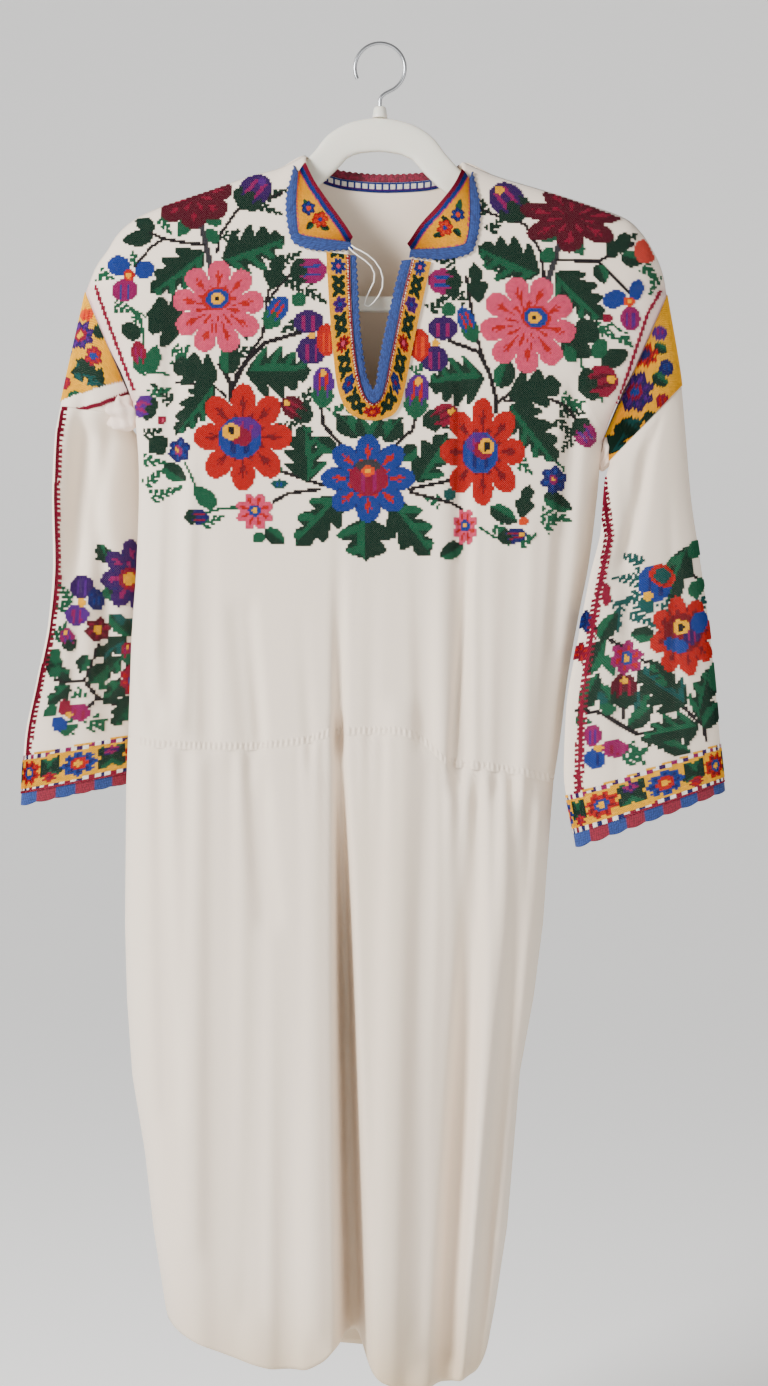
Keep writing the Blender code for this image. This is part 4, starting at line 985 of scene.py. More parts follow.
for side, sleeve_table, sleeve_folds in (
    ("left", SLEEVE_LEFT, SLEEVE_FOLDS_LEFT),
    ("right", SLEEVE_RIGHT, SLEEVE_FOLDS_RIGHT),
):
    is_left = side == "left"
    last_section = len(sleeve_table) - 1.0
    band_at = np.linspace(0.004, BAND_SECTION, 30)
    arm_at = np.linspace(BAND_SECTION + 0.004, last_section, SLEEVE_RINGS)
    band_rings = sleeve_rings(sleeve_table, sleeve_folds, band_at, RING_POINTS)
    tube_piece(
        f"shoulder_band_{side}_cloth", band_rings, is_left, CLOTH, linen, f"shoulder_band_{side}",
    )
    arm_rings = sleeve_rings(sleeve_table, sleeve_folds, arm_at, RING_POINTS)
    tube_piece(
        f"sleeve_{side}_cloth", arm_rings, is_left, CLOTH, linen, f"sleeve_{side}",
    )
    edge_rings, edge_blocks = cuff_rings(sleeve_table, 360)
    cuff = tube_piece(
        f"cuff_edging_{side}_crochet", edge_rings, is_left, TRIM_THICKNESS, cuff_crochet,
        f"cuff_edging_{side}",
    )
    set_share(cuff, "second_yarn", (edge_blocks // 1 % 2).ravel())


# Embroidery of the front: cross-stitches of coloured cotton, each of two flat threads over one cell of the
# weave, in flowers, buds, lobed leaves and twigs that mirror each other loosely about the slit.
STITCH = 1.8
THREAD_HALF_WIDTH_SHARE = 0.2
THREAD_FOOT = 0.22
THREAD_RISE = 0.55
SECOND_THREAD_RISE = 0.75
EMBROIDERY_MARGIN = 3.0
FRONT_MIDDLE = -11.0
THREAD_COLOURS = {
    "pink": "#C24462", "red": "#A8140C", "dark_red": "#6C0614", "crimson": "#80082C", "maroon": "#4E0018",
    "salmon": "#B83C30", "blue": "#18347E", "navy": "#141858", "purple": "#300A50", "violet": "#4C1672",
    "magenta": "#840C52", "green": "#082A1C", "leaf": "#0F5236", "teal": "#0C4844", "yellow": "#DCA200",
    "orange": "#C8400C", "stem": "#161014", "slate": "#343236", "white": "#EAE4DA",
}
THREADS = list(THREAD_COLOURS)
BARE = -1

FLOWERS = [
    # x, z, radius across, down, petals, turn, cut, point, petal, vein, gap
    (-176, -147, 37, 32, 7, 0.2, 0.22, 2.5, "maroon", "crimson", "maroon"),
    (-152, -254, 43, 44, 9, 0.3, 0.30, 3, "pink", "red", ""),
    (-128, -376, 46, 50, 8, 0.5, 0.36, 2.2, "red", "dark_red", ""),
    (-188, -388, 11, 12, 6, 0.2, 0.25, 2, "navy", "blue", ""),
    (-117, -446, 18, 18, 8, 0, 0.35, 2, "pink", "red", ""),
    (-11, -415, 44, 41, 8, 0.5, 0.30, 2, "blue", "red", "navy"),
    (180, -168, 50, 34, 7, 0.3, 0.42, 1.8, "maroon", "crimson", "maroon"),
    (139, -270, 45, 46, 9, 0.8, 0.30, 3, "pink", "red", ""),
    (96, -390, 40, 50, 8, 0.5, 0.36, 2.2, "red", "dark_red", ""),
    (163, -416, 13, 13, 6, 0.2, 0.25, 2, "navy", "blue", ""),
    (80, -460, 12, 18, 8, 0, 0.35, 2, "pink", "red", ""),
]
ELLIPSES = [
    # x, z, half width, half height, turn in degrees, colour, streaks
    (-153, -246, 14, 11, 10, "red"), (-152, -246, 11, 9, 10, "blue"),
    (-152, -246, 6, 5.5, 0, "yellow"), (-152, -246, 2, 2, 0, "stem"),
    (-155, -273, 6.5, 6.5, 0, "pink", "red"), (-131, -377, 20.5, 19.5, 0, "blue", "navy"),
    (-125, -368, 14, 10.5, -15, "violet", "magenta"), (-131, -375, 12, 8.5, -25, "crimson"),
    (-139, -371, 8.5, 7.5, 0, "yellow"), (-139, -370, 3, 4.5, 20, "stem"),
    (-189, -388, 3.5, 5.5, 25, "magenta"), (-190, -388, 1.5, 3, 25, "yellow"),
    (-117, -445, 6, 5.5, 0, "blue"), (-117, -445, 2.5, 2.5, 0, "yellow"),
    (-94, -420, 7.5, 4, 0, "teal", "blue"), (-11, -415, 18, 16, 0, "crimson", "magenta"),
    (-11, -403, 12, 5.5, 0, "slate"), (-11, -408, 6.5, 5, 0, "orange"),
    (-11, -408, 2.5, 2, 0, "yellow"), (146, -264, 14, 11, -10, "red"),
    (146, -264, 11, 9.5, -10, "blue"), (145, -264, 6.5, 5.5, 0, "yellow"),
    (145, -264, 2, 2, 0, "stem"), (144, -290, 6.5, 6.5, 0, "pink", "red"),
    (94, -391, 17, 19.5, 0, "blue", "navy"), (92, -382, 11, 9.5, 10, "violet", "magenta"),
    (97, -388, 9.5, 8.5, 20, "crimson"), (100, -385, 7.5, 7.5, 0, "yellow"),
    (100, -385, 3, 4.5, -20, "stem"), (162, -416, 4, 4.5, 0, "magenta"),
    (162, -416, 1.5, 2, 0, "yellow"), (65, -430, 6, 5, 0, "teal", "blue"),
    (80, -459, 4.5, 5.5, 0, "blue"), (80, -459, 2, 2, 0, "yellow"),
    (-246, -213, 11, 9.5, -25, "blue"), (-221, -218, 9.5, 8.5, 30, "blue"),
    (-240, -237, 12, 11, 0, "magenta", "blue"), (-236, -223, 5.5, 5.5, 0, "red", "orange"),
    (-236, -223, 2.5, 2.5, 0, "yellow"), (-67, -268, 14, 11, 0, "purple", "magenta"),
    (-64, -295, 14, 13, 0, "purple", "magenta"), (-50, -285, 9.5, 15, 0, "red", "orange"),
    (-64, -281, 3.5, 3.5, 0, "yellow"), (220, -246, 11, 8.5, 20, "blue"),
    (241, -237, 6.5, 10.5, -20, "blue"), (235, -264, 9.5, 11, 0, "magenta", "violet"),
    (234, -248, 5.5, 4.5, 0, "orange", "red"), (235, -248, 2, 2, 0, "yellow"),
    (59, -274, 14, 11, 0, "purple", "magenta"), (51, -303, 13, 12, 0, "purple", "magenta"),
    (37, -290, 9.5, 15, 0, "red", "orange"), (52, -288, 3.5, 3.5, 0, "yellow"),
    (213, -264, 4.5, 4.5, 0, "crimson"), (-205, -359, 4, 4, 0, "crimson", "pink"),
    (134, -455, 4.5, 3.5, 0, "orange"), (251, -198, 11, 13, -30, "salmon"),
]
BUDS = [
    # x, z of the stalk, x, z of the tip, half width, petals, streaks, tip, calyx
    (-132, -160, -108, -129, 15, "purple", "magenta", "violet", "green"),
    (-85, -221, -51, -219, 12, "magenta", "blue", "magenta", "green"),
    (-107, -274, -89, -245, 9, "blue", "red", "blue", "leaf"),
    (-54, -349, -53, -311, 10, "violet", "red", "yellow", "leaf"),
    (-64, -360, -91, -342, 10, "maroon", "crimson", "yellow", "green"),
    (-223, -317, -228, -286, 7, "crimson", "magenta", "crimson", "leaf"),
    (-210, -352, -230, -342, 11, "violet", "magenta", "magenta", "green"),
    (-183, -451, -161, -451, 7, "navy", "crimson", "navy", "green"),
    (134, -171, 109, -137, 16, "purple", "magenta", "yellow", "green"),
    (185, -329, 222, -320, 15, "crimson", "maroon", "yellow", "green"),
    (77, -231, 46, -229, 12, "magenta", "blue", "magenta", "green"),
    (89, -287, 76, -255, 8, "blue", "red", "blue", "leaf"),
    (32, -359, 37, -318, 11, "violet", "red", "yellow", "leaf"),
    (40, -365, 71, -350, 10, "crimson", "maroon", "yellow", "green"),
    (183, -359, 200, -382, 10, "magenta", "violet", "magenta", "green"),
    (110, -471, 136, -467, 7, "navy", "crimson", "yellow", "green"),
]
LEAVES = [
    # x, z of the stalk, x, z of the tip, half width, lobes, left side, right side
    (-148, -209, -89, -188, 24, 4, "green", "leaf"), (-165, -201, -216, -240, 20, 4, "leaf", "green"),
    (-165, -163, -150, -176, 7, 0, "leaf"), (-178, -168, -190, -186, 7, 0, "leaf"),
    (-153, -193, -162, -179, 6, 0, "leaf"), (-182, -269, -219, -259, 28, 2, "green"),
    (-152, -321, -195, -306, 19, 3, "green"), (-141, -317, -140, -287, 10, 0, "leaf", "green"),
    (-125, -316, -65, -314, 26, 4, "leaf", "green"), (-102, -237, -94, -205, 11, 2, "green"),
    (-80, -253, -72, -241, 7, 0, "leaf"), (-218, -316, -209, -290, 8, 0, "leaf"),
    (-156, -326, -192, -373, 16, 4, "leaf", "green"), (-200, -376, -218, -390, 10, 1, "green"),
    (-203, -402, -182, -416, 8, 0, "green", "leaf"), (-111, -396, -92, -409, 8, 0, "leaf", "green"),
    (-68, -418, -72, -364, 21, 4, "green", "leaf"), (-59, -378, -39, -391, 8, 0, "green", "leaf"),
    (-154, -442, -174, -423, 8, 0, "leaf"), (-225, -282, -243, -270, 8, 0, "green"),
    (-214, -187, -243, -188, 8, 0, "green"), (-213, -179, -231, -168, 7, 0, "green"),
    (-108, -463, -89, -476, 7, 0, "leaf", "green"), (-109, -466, -118, -475, 5, 0, "leaf"),
    (-21, -376, -41, -354, 11, 1, "green", "leaf"), (-11, -378, -20, -358, 7, 0, "green", "leaf"),
    (-8, -378, 2, -359, 7, 0, "leaf", "green"), (4, -381, 21, -357, 11, 1, "leaf", "green"),
    (-36, -432, -79, -478, 20, 3, "green", "leaf"), (-13, -452, -13, -492, 28, 2, "green", "leaf"),
    (10, -439, 47, -487, 21, 3, "leaf", "green"), (34, -418, 63, -373, 19, 3, "green", "leaf"),
    (34, -385, 19, -398, 8, 0, "leaf", "green"), (149, -222, 92, -197, 24, 4, "leaf", "green"),
    (165, -221, 209, -265, 21, 4, "green", "leaf"), (169, -179, 151, -191, 7, 0, "leaf"),
    (176, -183, 191, -204, 8, 0, "leaf"), (154, -212, 161, -197, 7, 0, "leaf"),
    (171, -299, 204, -267, 20, 2, "green"), (207, -307, 233, -295, 9, 0, "green"),
    (202, -302, 210, -283, 8, 0, "leaf"), (121, -338, 170, -326, 21, 3, "green"),
    (112, -330, 121, -303, 10, 0, "leaf", "green"), (97, -321, 45, -327, 25, 4, "green", "leaf"),
    (93, -250, 88, -212, 10, 2, "green"), (65, -263, 63, -249, 7, 0, "leaf"),
    (123, -345, 166, -400, 20, 4, "green", "leaf"), (227, -204, 247, -210, 8, 0, "leaf", "green"),
    (219, -207, 217, -187, 6, 0, "green"), (226, -202, 231, -181, 7, 0, "green"),
    (204, -213, 211, -231, 7, 0, "leaf", "green"), (77, -477, 56, -488, 8, 0, "leaf", "green"),
    (103, -442, 128, -456, 8, 0, "leaf", "green"), (132, -452, 140, -420, 9, 2, "green"),
    (153, -431, 180, -443, 8, 0, "green", "leaf"), (182, -306, 174, -290, 6, 0, "leaf"),
]
STEMS = [
    # colour, width, points in x and z
    ("crimson", 2.8, [(-269, -231), (-232, -330)]),
    ("crimson", 2.8, [(265, -236), (252, -258), (224, -342)]),
    ("slate", 4.7, [(-172, -160), (-163, -197), (-156, -231)]),
    ("stem", 2.8, [(-164, -195), (-187, -192), (-205, -188), (-229, -175)]),
    ("stem", 2.4, [(-153, -201), (-150, -185), (-134, -161), (-110, -153), (-92, -145)]),
    ("stem", 2.4, [(-203, -188), (-215, -196), (-230, -214)]),
    ("stem", 3.7, [(-140, -342), (-141, -323), (-150, -308)]),
    ("stem", 3.7, [(-138, -330), (-128, -309), (-109, -288), (-75, -278)]),
    ("stem", 2.4, [(-136, -319), (-110, -281), (-105, -241), (-97, -213)]),
    ("stem", 2.2, [(-105, -248), (-92, -231), (-82, -222)]),
    ("stem", 2.2, [(-144, -338), (-157, -327), (-191, -324)]),
    ("leaf", 2.1, [(-231, -256), (-223, -272), (-222, -288)]),
    ("leaf", 2.1, [(-223, -318), (-215, -314), (-198, -317)]),
    ("stem", 2.8, [(-110, -397), (-91, -409), (-52, -422)]),
    ("stem", 2.8, [(-100, -437), (-86, -429), (-56, -425)]),
    ("leaf", 2.4, [(-163, -447), (-148, -443), (-131, -442)]),
    ("stem", 2.8, [(-55, -349), (-53, -365), (-41, -378), (-31, -391)]),
    ("leaf", 2.1, [(-172, -424), (-178, -409), (-183, -400)]),
    ("slate", 5.1, [(174, -177), (164, -208), (151, -247)]),
    ("stem", 3.0, [(166, -209), (205, -210), (239, -192)]),
    ("stem", 2.4, [(205, -210), (221, -226), (235, -241)]),
    ("stem", 2.8, [(136, -175), (151, -202), (154, -228)]),
    ("stem", 2.2, [(94, -161), (112, -168), (136, -175)]),
    ("stem", 3.4, [(108, -353), (108, -338), (102, -315), (92, -296), (65, -286)]),
    ("stem", 2.4, [(106, -329), (94, -295), (86, -259), (81, -226)]),
    ("stem", 3.0, [(109, -345), (120, -336), (130, -340)]),
    ("stem", 2.4, [(117, -342), (154, -339), (174, -346), (185, -360)]),
    ("stem", 2.8, [(27, -425), (61, -418), (76, -412)]),
    ("stem", 2.8, [(29, -428), (67, -438), (77, -443)]),
    ("stem", 2.8, [(10, -390), (19, -379), (30, -370), (33, -359)]),
    ("leaf", 2.1, [(165, -399), (173, -405), (168, -415)]),
    ("leaf", 2.1, [(94, -461), (105, -469), (112, -471)]), ("leaf", 2.1, [(187, -297), (190, -314)]),
    ("leaf", 2.1, [(206, -276), (217, -269), (226, -276)]),
]
SPRIGS = [
    # x, z of the foot, x, z of the tip, colour
    (-120, -155, -92, -166, "green"), (-114, -153, -84, -140, "green"), (-148, -188, -131, -181, "green"),
    (-206, -167, -196, -185, "leaf"), (-230, -213, -233, -200, "leaf"), (-266, -219, -250, -226, "leaf"),
    (-250, -251, -226, -259, "leaf"), (-224, -259, -236, -273, "leaf"), (-194, -292, -176, -310, "leaf"),
    (-191, -310, -179, -289, "leaf"), (-95, -213, -73, -202, "green"), (-88, -228, -71, -241, "green"),
    (-69, -236, -50, -251, "green"), (-121, -280, -135, -269, "green"), (-133, -297, -110, -293, "green"),
    (-72, -344, -65, -329, "green"), (-92, -370, -75, -361, "green"), (-223, -396, -200, -400, "leaf"),
    (-221, -420, -200, -403, "leaf"), (-215, -432, -184, -422, "leaf"), (-222, -373, -204, -368, "green"),
    (-45, -355, -32, -345, "leaf"), (-166, -458, -146, -450, "leaf"), (-92, -250, -110, -248, "green"),
    (-196, -342, -215, -325, "green"), (-217, -337, -196, -330, "leaf"), (-78, -269, -93, -278, "green"),
    (-32, -351, -21, -342, "leaf"), (103, -183, 117, -166, "green"), (97, -166, 97, -150, "green"),
    (178, -166, 196, -179, "leaf"), (232, -190, 243, -181, "green"), (249, -213, 264, -228, "leaf"),
    (262, -220, 254, -241, "leaf"), (71, -213, 51, -209, "green"), (75, -241, 52, -248, "green"),
    (47, -258, 62, -244, "green"), (82, -248, 67, -235, "green"), (99, -209, 112, -222, "leaf"),
    (181, -248, 193, -259, "leaf"), (202, -273, 224, -284, "leaf"), (226, -280, 237, -291, "leaf"),
    (194, -319, 209, -342, "leaf"), (178, -345, 193, -342, "leaf"), (170, -338, 189, -349, "leaf"),
    (165, -359, 181, -375, "green"), (180, -375, 170, -390, "green"), (168, -351, 193, -353, "green"),
    (47, -368, 62, -360, "green"), (67, -370, 52, -353, "green"), (32, -316, 41, -308, "leaf"),
    (151, -448, 180, -454, "leaf"), (154, -461, 174, -448, "leaf"), (131, -400, 142, -411, "leaf"),
    (56, -437, 41, -433, "leaf"), (109, -458, 120, -478, "leaf"), (131, -477, 146, -467, "leaf"),
]


def lay(canvas, where, colour):
    """Threads of a colour laid where asked. No colour leaves the linen bare."""
    canvas[where] = THREADS.index(colour) if colour else BARE


def along_and_beside(x, z, x0, z0, x1, z1):
    """Share of the way from one point to another, the distance to the left of that way, and its length."""
    length = math.hypot(x1 - x0, z1 - z0)
    towards_x, towards_z = (x1 - x0) / length, (z1 - z0) / length
    share = ((x - x0) * towards_x + (z - z0) * towards_z) / length
    return share, (z - z0) * towards_x - (x - x0) * towards_z, length


def stitch_flower(canvas, x, z, x0, z0, across_mm, down_mm, petals, turn, cut, point, petal, vein, gap):
    """Petals round a centre. In the flower's own radii the outline is 1 - cut * |offset| ** point, with the
    offset -1 to 1 across a petal. A vein with two branches runs up each petal, and a gap parts them."""
    u, v = (x - x0) / across_mm, (z - z0) / down_mm
    radius = np.hypot(u, v)
    offset = (np.arctan2(v, u) * petals / (2 * math.pi) + turn) % 1.0 - 0.5
    petal_mm = 2 * math.pi / petals * radius * (across_mm + down_mm) / 2
    inside = radius < 1 - cut * np.abs(2 * offset) ** point
    lay(canvas, inside, petal)
    if gap or across_mm > 25:
        lay(canvas, inside & ((0.5 - np.abs(offset)) * petal_mm < STITCH * 0.45) & (radius > 0.5), gap)
    branch = np.abs(np.abs(offset) - 0.5 * (radius - 0.45)) * petal_mm < STITCH * 0.5
    centre = np.abs(offset) * petal_mm < STITCH * 0.5
    lay(canvas, centre & (radius > 0.3) & (radius < 0.78), vein)
    lay(canvas, branch & (radius > 0.45) & (radius < 0.7), vein)


def stitch_ellipse(canvas, x, z, x0, z0, half_width, half_height, turn, colour, streaks=""):
    """A turned ellipse with fine streaks running down it where a second colour is given."""
    cosine, sine = math.cos(math.radians(turn)), math.sin(math.radians(turn))
    u = ((x - x0) * cosine + (z - z0) * sine) / half_width
    v = ((z - z0) * cosine - (x - x0) * sine) / half_height
    lay(canvas, np.hypot(u, v) < 1, colour)
    if streaks:
        streak = np.abs((u * 1.6) % 1.0 - 0.5) < 0.16
        lay(canvas, streak & (np.hypot(u, v) < 0.8) & (v < 0.5), streaks)


def stitch_bud(canvas, x, z, x0, z0, x1, z1, half_width, petals, streaks, tip, calyx):
    """A closed bud: an oval of petals streaked lengthwise, over a calyx of three sepals at the stalk."""
    share, beside, _ = along_and_beside(x, z, x0, z0, x1, z1)
    oval = half_width * np.sqrt(np.clip(1 - ((share - 0.6) / 0.42) ** 2, 0, 1))
    lay(canvas, np.abs(beside) < oval, petals)
    streak = np.abs((beside / (0.62 * half_width)) % 1.0 - 0.5) < 0.2
    lay(canvas, streak & (np.abs(beside) < 0.8 * oval) & (share > 0.4) & (share < 0.86), streaks)
    lay(canvas, (np.hypot(beside, (share - 0.86) * half_width * 2.4) < 0.26 * half_width), tip)
    sepals = half_width * 1.02 * np.sin(math.pi * np.clip(share / 0.62, 0, 1)) ** 0.7
    notch = np.abs(np.abs(beside) - 0.45 * half_width) < (share - 0.26) * half_width
    lay(canvas, (np.abs(beside) < sepals) & (share < 0.52) & ~notch, calyx)


def stitch_leaf(canvas, x, z, x0, z0, x1, z1, half_width, lobes, left, right=""):
    """A leaf in one tone, or in two with its rib between them. Its half width is a power of a sine along
    it, cut into lobes that lean towards the tip. In two tones each lobe is edged in green."""
    right = right or left
    share, beside, _ = along_and_beside(x, z, x0, z0, x1, z1)
    reach = half_width * np.sin(math.pi * np.clip(share, 0, 1) ** 0.85) ** 0.7
    leaning = lobes * (share - 0.24 * np.abs(beside) / half_width)
    step = (leaning + 0.15) % 1.0 if lobes else np.full(x.shape, 0.5)
    edge = 1 - (0.54 * np.abs(2 * step - 1) ** 1.6 if lobes else 0.0)
    inside = (share > 0) & (share < 1) & (np.abs(beside) < reach * edge)
    lay(canvas, inside & (beside >= 0), left)
    lay(canvas, inside & (beside < 0), right)
    if left != right:
        shaded = inside & (np.abs(step - 0.5) > 0.2)
        lay(canvas, shaded & (lobes > 0) & (np.abs(beside) > 0.3 * reach), "green")
    lay(canvas, inside & (np.abs(beside) < STITCH * 0.5), "green" if left != right else left)


def near_line(x, z, width, points):
    """Where places in x and z lie within half a width of a line of points."""
    near = np.zeros(x.shape, bool)
    for (x0, z0), (x1, z1) in zip(points, points[1:]):
        share, _, _ = along_and_beside(x, z, x0, z0, x1, z1)
        at = np.clip(share, 0, 1)
        near |= np.hypot(x - x0 - at * (x1 - x0), z - z0 - at * (z1 - z0)) < width / 2
    return near


def stitch_stem(canvas, x, z, colour, width, points):
    """A twig along a line of points."""
    lay(canvas, near_line(x, z, width, points), colour)


def stitch_sprig(canvas, x, z, x0, z0, x1, z1, colour):
    """A fine twig with small slanted leaves, first on one side and then on the other."""
    share, beside, length = along_and_beside(x, z, x0, z0, x1, z1)
    pairs = max(round(length / 7.0), 2)
    step = (pairs * share - np.abs(beside) * 0.8 / 7.0 + np.where(beside > 0, 0.0, 0.5)) % 1.0
    on_twig = (share > 0) & (share < 1)
    lay(canvas, on_twig & (np.abs(beside) < STITCH * 0.45), colour)
    lay(canvas, on_twig & (np.abs(beside) < 6.4 * (1.15 - share)) & (np.abs(step - 0.5) < 0.29), colour)


def embroider(canvas, x, z, leaves, stems, sprigs, buds, flowers, ellipses):
    """Lays the motifs over each other: twigs first, then leaves, buds, flowers and their eyes."""
    for row in sprigs:
        stitch_sprig(canvas, x, z, *row)
    for row in stems:
        stitch_stem(canvas, x, z, *row)
    for row in leaves:
        stitch_leaf(canvas, x, z, *row)
    for row in buds:
        stitch_bud(canvas, x, z, *row)
    for row in flowers:
        stitch_flower(canvas, x, z, *row)
        x0, z0, across_mm, down_mm, petals, turn, cut, point, petal, vein, gap = row
        if across_mm > 30:
            inner = (x0, z0, across_mm * 0.62, down_mm * 0.62, petals, turn + 0.5)
            stitch_flower(canvas, x, z, *inner, cut, point, petal, vein, gap or vein)
    for row in ellipses:
        stitch_ellipse(canvas, x, z, *row)
    return canvas


def stranded_cotton():
    """Stranded embroidery cotton: dyed threads with a soft lustre along them and a fine twist."""
    material, shader = new_material("stranded_cotton", "#888888", 0.75, Specular_IOR_Level=0.3)
    dye = add_node(material, "ShaderNodeAttribute", {"attribute_name": "thread_colour"})
    place = add_node(material, "ShaderNodeTexCoord").outputs["Object"]
    strands = add_node(material, "ShaderNodeTexNoise", Vector=place, Scale=1 / (0.5 * MM), Detail=1.0)
    material.node_tree.links.new(dye.outputs["Color"], shader.inputs["Base Color"])
    add_relief(material, shader, strands.outputs["Fac"], 0.4, 0.15)
    return material


cotton = stranded_cotton()
dye_lots = np.random.default_rng(11)


def cross_stitches(name, corners, outwards, thread):
    """Joined mesh of cross-stitches. corners holds each cell's four corners in order round it, outwards its
    unit normal. Each stitch is two crossed roofs: a ridge along a diagonal, its eaves on the cloth."""
    corners, outwards, thread = corners[thread != BARE], outwards[thread != BARE], thread[thread != BARE]
    a, b, c, d = (corners[:, k] + THREAD_FOOT * outwards for k in range(4))
    parts = []
    for start, end, other_start, other_end, rise in (
        (a, c, b, d, THREAD_RISE),
        (b, d, c, a, SECOND_THREAD_RISE),
    ):
        side = (other_start - other_end) * THREAD_HALF_WIDTH_SHARE
        ridge = outwards * rise
        parts += [start + side, end + side, start + ridge, end + ridge, start - side, end - side]
    points = np.stack(parts, axis=1).reshape(-1, 3)
    roof = np.array([[0, 2, 3, 1], [2, 4, 5, 3], [6, 8, 9, 7], [8, 10, 11, 9]])
    faces = (roof[None] + 12 * np.arange(len(thread))[:, None, None]).reshape(-1, 4)
    first = points[faces[:, :3]]
    normals = np.cross(first[:, 1] - first[:, 0], first[:, 2] - first[:, 0])
    facing = np.einsum("ij,ij->i", normals, np.repeat(outwards, 4, axis=0))
    faces = np.where(facing[:, None] < 0, faces[:, ::-1], faces)
    obj = mesh_piece(name, points, faces, cotton, sharp=25)
    palette = np.array([linear(THREAD_COLOURS[key]) for key in THREADS])
    worn = 1 + dye_lots.normal(0.0, 0.07, len(thread))[:, None]
    colour = np.concatenate([palette[thread] * worn, np.ones((len(thread), 1))], axis=1)
    attribute = obj.data.attributes.new("thread_colour", "FLOAT_COLOR", "POINT")
    of_points = np.repeat(np.clip(colour, 0, 1), 12, axis=0)
    attribute.data.foreach_set("color", of_points.astype(np.float32).ravel())
    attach(obj, "root")
    return obj


def grid_cells(grid):
    """The cells of a grid of points: their corners in order round them, their unit normals and centres."""
    corners = np.stack([grid[:-1, :-1], grid[:-1, 1:], grid[1:, 1:], grid[1:, :-1]], axis=2)
    normal = np.cross(corners[:, :, 3] - corners[:, :, 1], corners[:, :, 2] - corners[:, :, 0])
    normal = normal / np.maximum(np.linalg.norm(normal, axis=-1, keepdims=True), 1e-9)
    return corners.reshape(-1, 4, 3), normal.reshape(-1, 3), corners.mean(axis=2)


def opening_edge(z):
    """The neckline's and the slit band's outer edge at a height, on the left and on the right."""
    left = NECKLINE_LEFT[:-1] + SLIT_BAND_OUTER[:7]
    right = NECKLINE_RIGHT[:-1] + SLIT_BAND_OUTER[:5:-1]
    sides = []
    for path in (left, right):
        x, heights = columns(path)
        order = np.argsort(heights)
        sides.append(np.interp(z, heights[order], x[order]))
    return sides


SLIT_BAND_OUTER = [
    # x, z
    (-50.3, -202.4), (-47.3, -255.1), (-43.3, -302.6), (-40.3, -326.4), (-35.4, -343.2), (-24.6, -356.5),
    (-5.9, -360.9), (9.9, -357), (18.3, -347.1), (24.2, -325.4), (30.6, -291.7), (38.5, -255.1),
    (47.9, -211.8),
]
node_x, node_z = np.meshgrid(np.arange(-284.0, 280.0, STITCH), np.arange(-120.0, -500.0, -STITCH))
front_nodes = np.stack([node_x, front_y(node_x, node_z), node_z], -1)
front_corners, front_normals, front_centres = grid_cells(front_nodes)
cell_x, cell_z = front_centres[..., 0], front_centres[..., 2]
on_left, on_right = opening_edge(cell_z)
above_foot = cell_z > SLIT_BAND_OUTER[6][1]
bare = (
    (cell_x < left_edge(cell_z) + EMBROIDERY_MARGIN)
    | (cell_x > right_edge(cell_z) - EMBROIDERY_MARGIN)
    | (cell_z > shoulder_height(cell_x) - EMBROIDERY_MARGIN)
    | (above_foot & (cell_x > on_left) & (cell_x < on_right))
)
canvas = np.full(cell_x.shape, BARE)
embroider(canvas, cell_x, cell_z, LEAVES, STEMS, SPRIGS, BUDS, FLOWERS, ELLIPSES)
canvas[bare] = BARE
on_left_half = cell_x.ravel() < FRONT_MIDDLE
for half, chosen in (("left", on_left_half), ("right", ~on_left_half)):
    cross_stitches(
        f"front_embroidery_{half}", front_corners[chosen], front_normals[chosen],
        canvas.ravel()[chosen],
    )


# Embroidery of the sleeves: cross-stitches in the same cotton. A band of big flowers on yellow goes over
# each shoulder, flowers and leaves fill the lower half, and a yellow border with a repeat runs above the
# wrist.
SLEEVE_STITCH = 2.05
BAND_STITCH_ROWS = 44
CUFF_BORDER = 37.0
CUFF_REPEAT = 88.0
SEAM_TOOTH = 5.0
SEAM_WIDTH = 3.2
SEAM_TOOTH_WIDTH = 8.5
BAND_SEAM_WIDTH = 3.4
CUFF_DOT = 4.0
LEFT_FLOWERS = [
    (-236, -503, 32, 35, 8, 0.3, 0.32, 2, "purple", "magenta", "navy"),
    (-270, -555, 12, 12, 6, 0.2, 0.35, 2, "maroon", "crimson", ""),
    (-237, -603, 14, 15, 8, 0.1, 0.35, 2, "crimson", "red", ""),
]
LEFT_ELLIPSES = [
    (-285, -514, 11, 11, 0, "purple", "violet"), (-289, -541, 11, 10, 0, "violet", "magenta"),
    (-272, -526, 7, 11, 10, "navy", "blue"), (-285, -529, 4, 4, 0, "yellow"),
    (-241, -506, 10, 11, 0, "crimson", "red"), (-241, -506, 6, 6, 0, "yellow"),
    (-270, -555, 4, 4, 0, "yellow"), (-237, -603, 5, 5, 0, "blue"),
    (-287, -634, 10, 8, 0, "magenta", "crimson"), (-300, -629, 6, 7, 0, "crimson"),
    (-305, -645, 7, 7, 0, "blue"), (-296, -636, 3, 3, 0, "yellow"),
]
LEFT_BUDS = [
    (-241, -588, -243, -568, 7, "crimson", "magenta", "yellow", "leaf"),
    (-294, -575, -300, -555, 7, "magenta", "violet", "yellow", "green"),
]
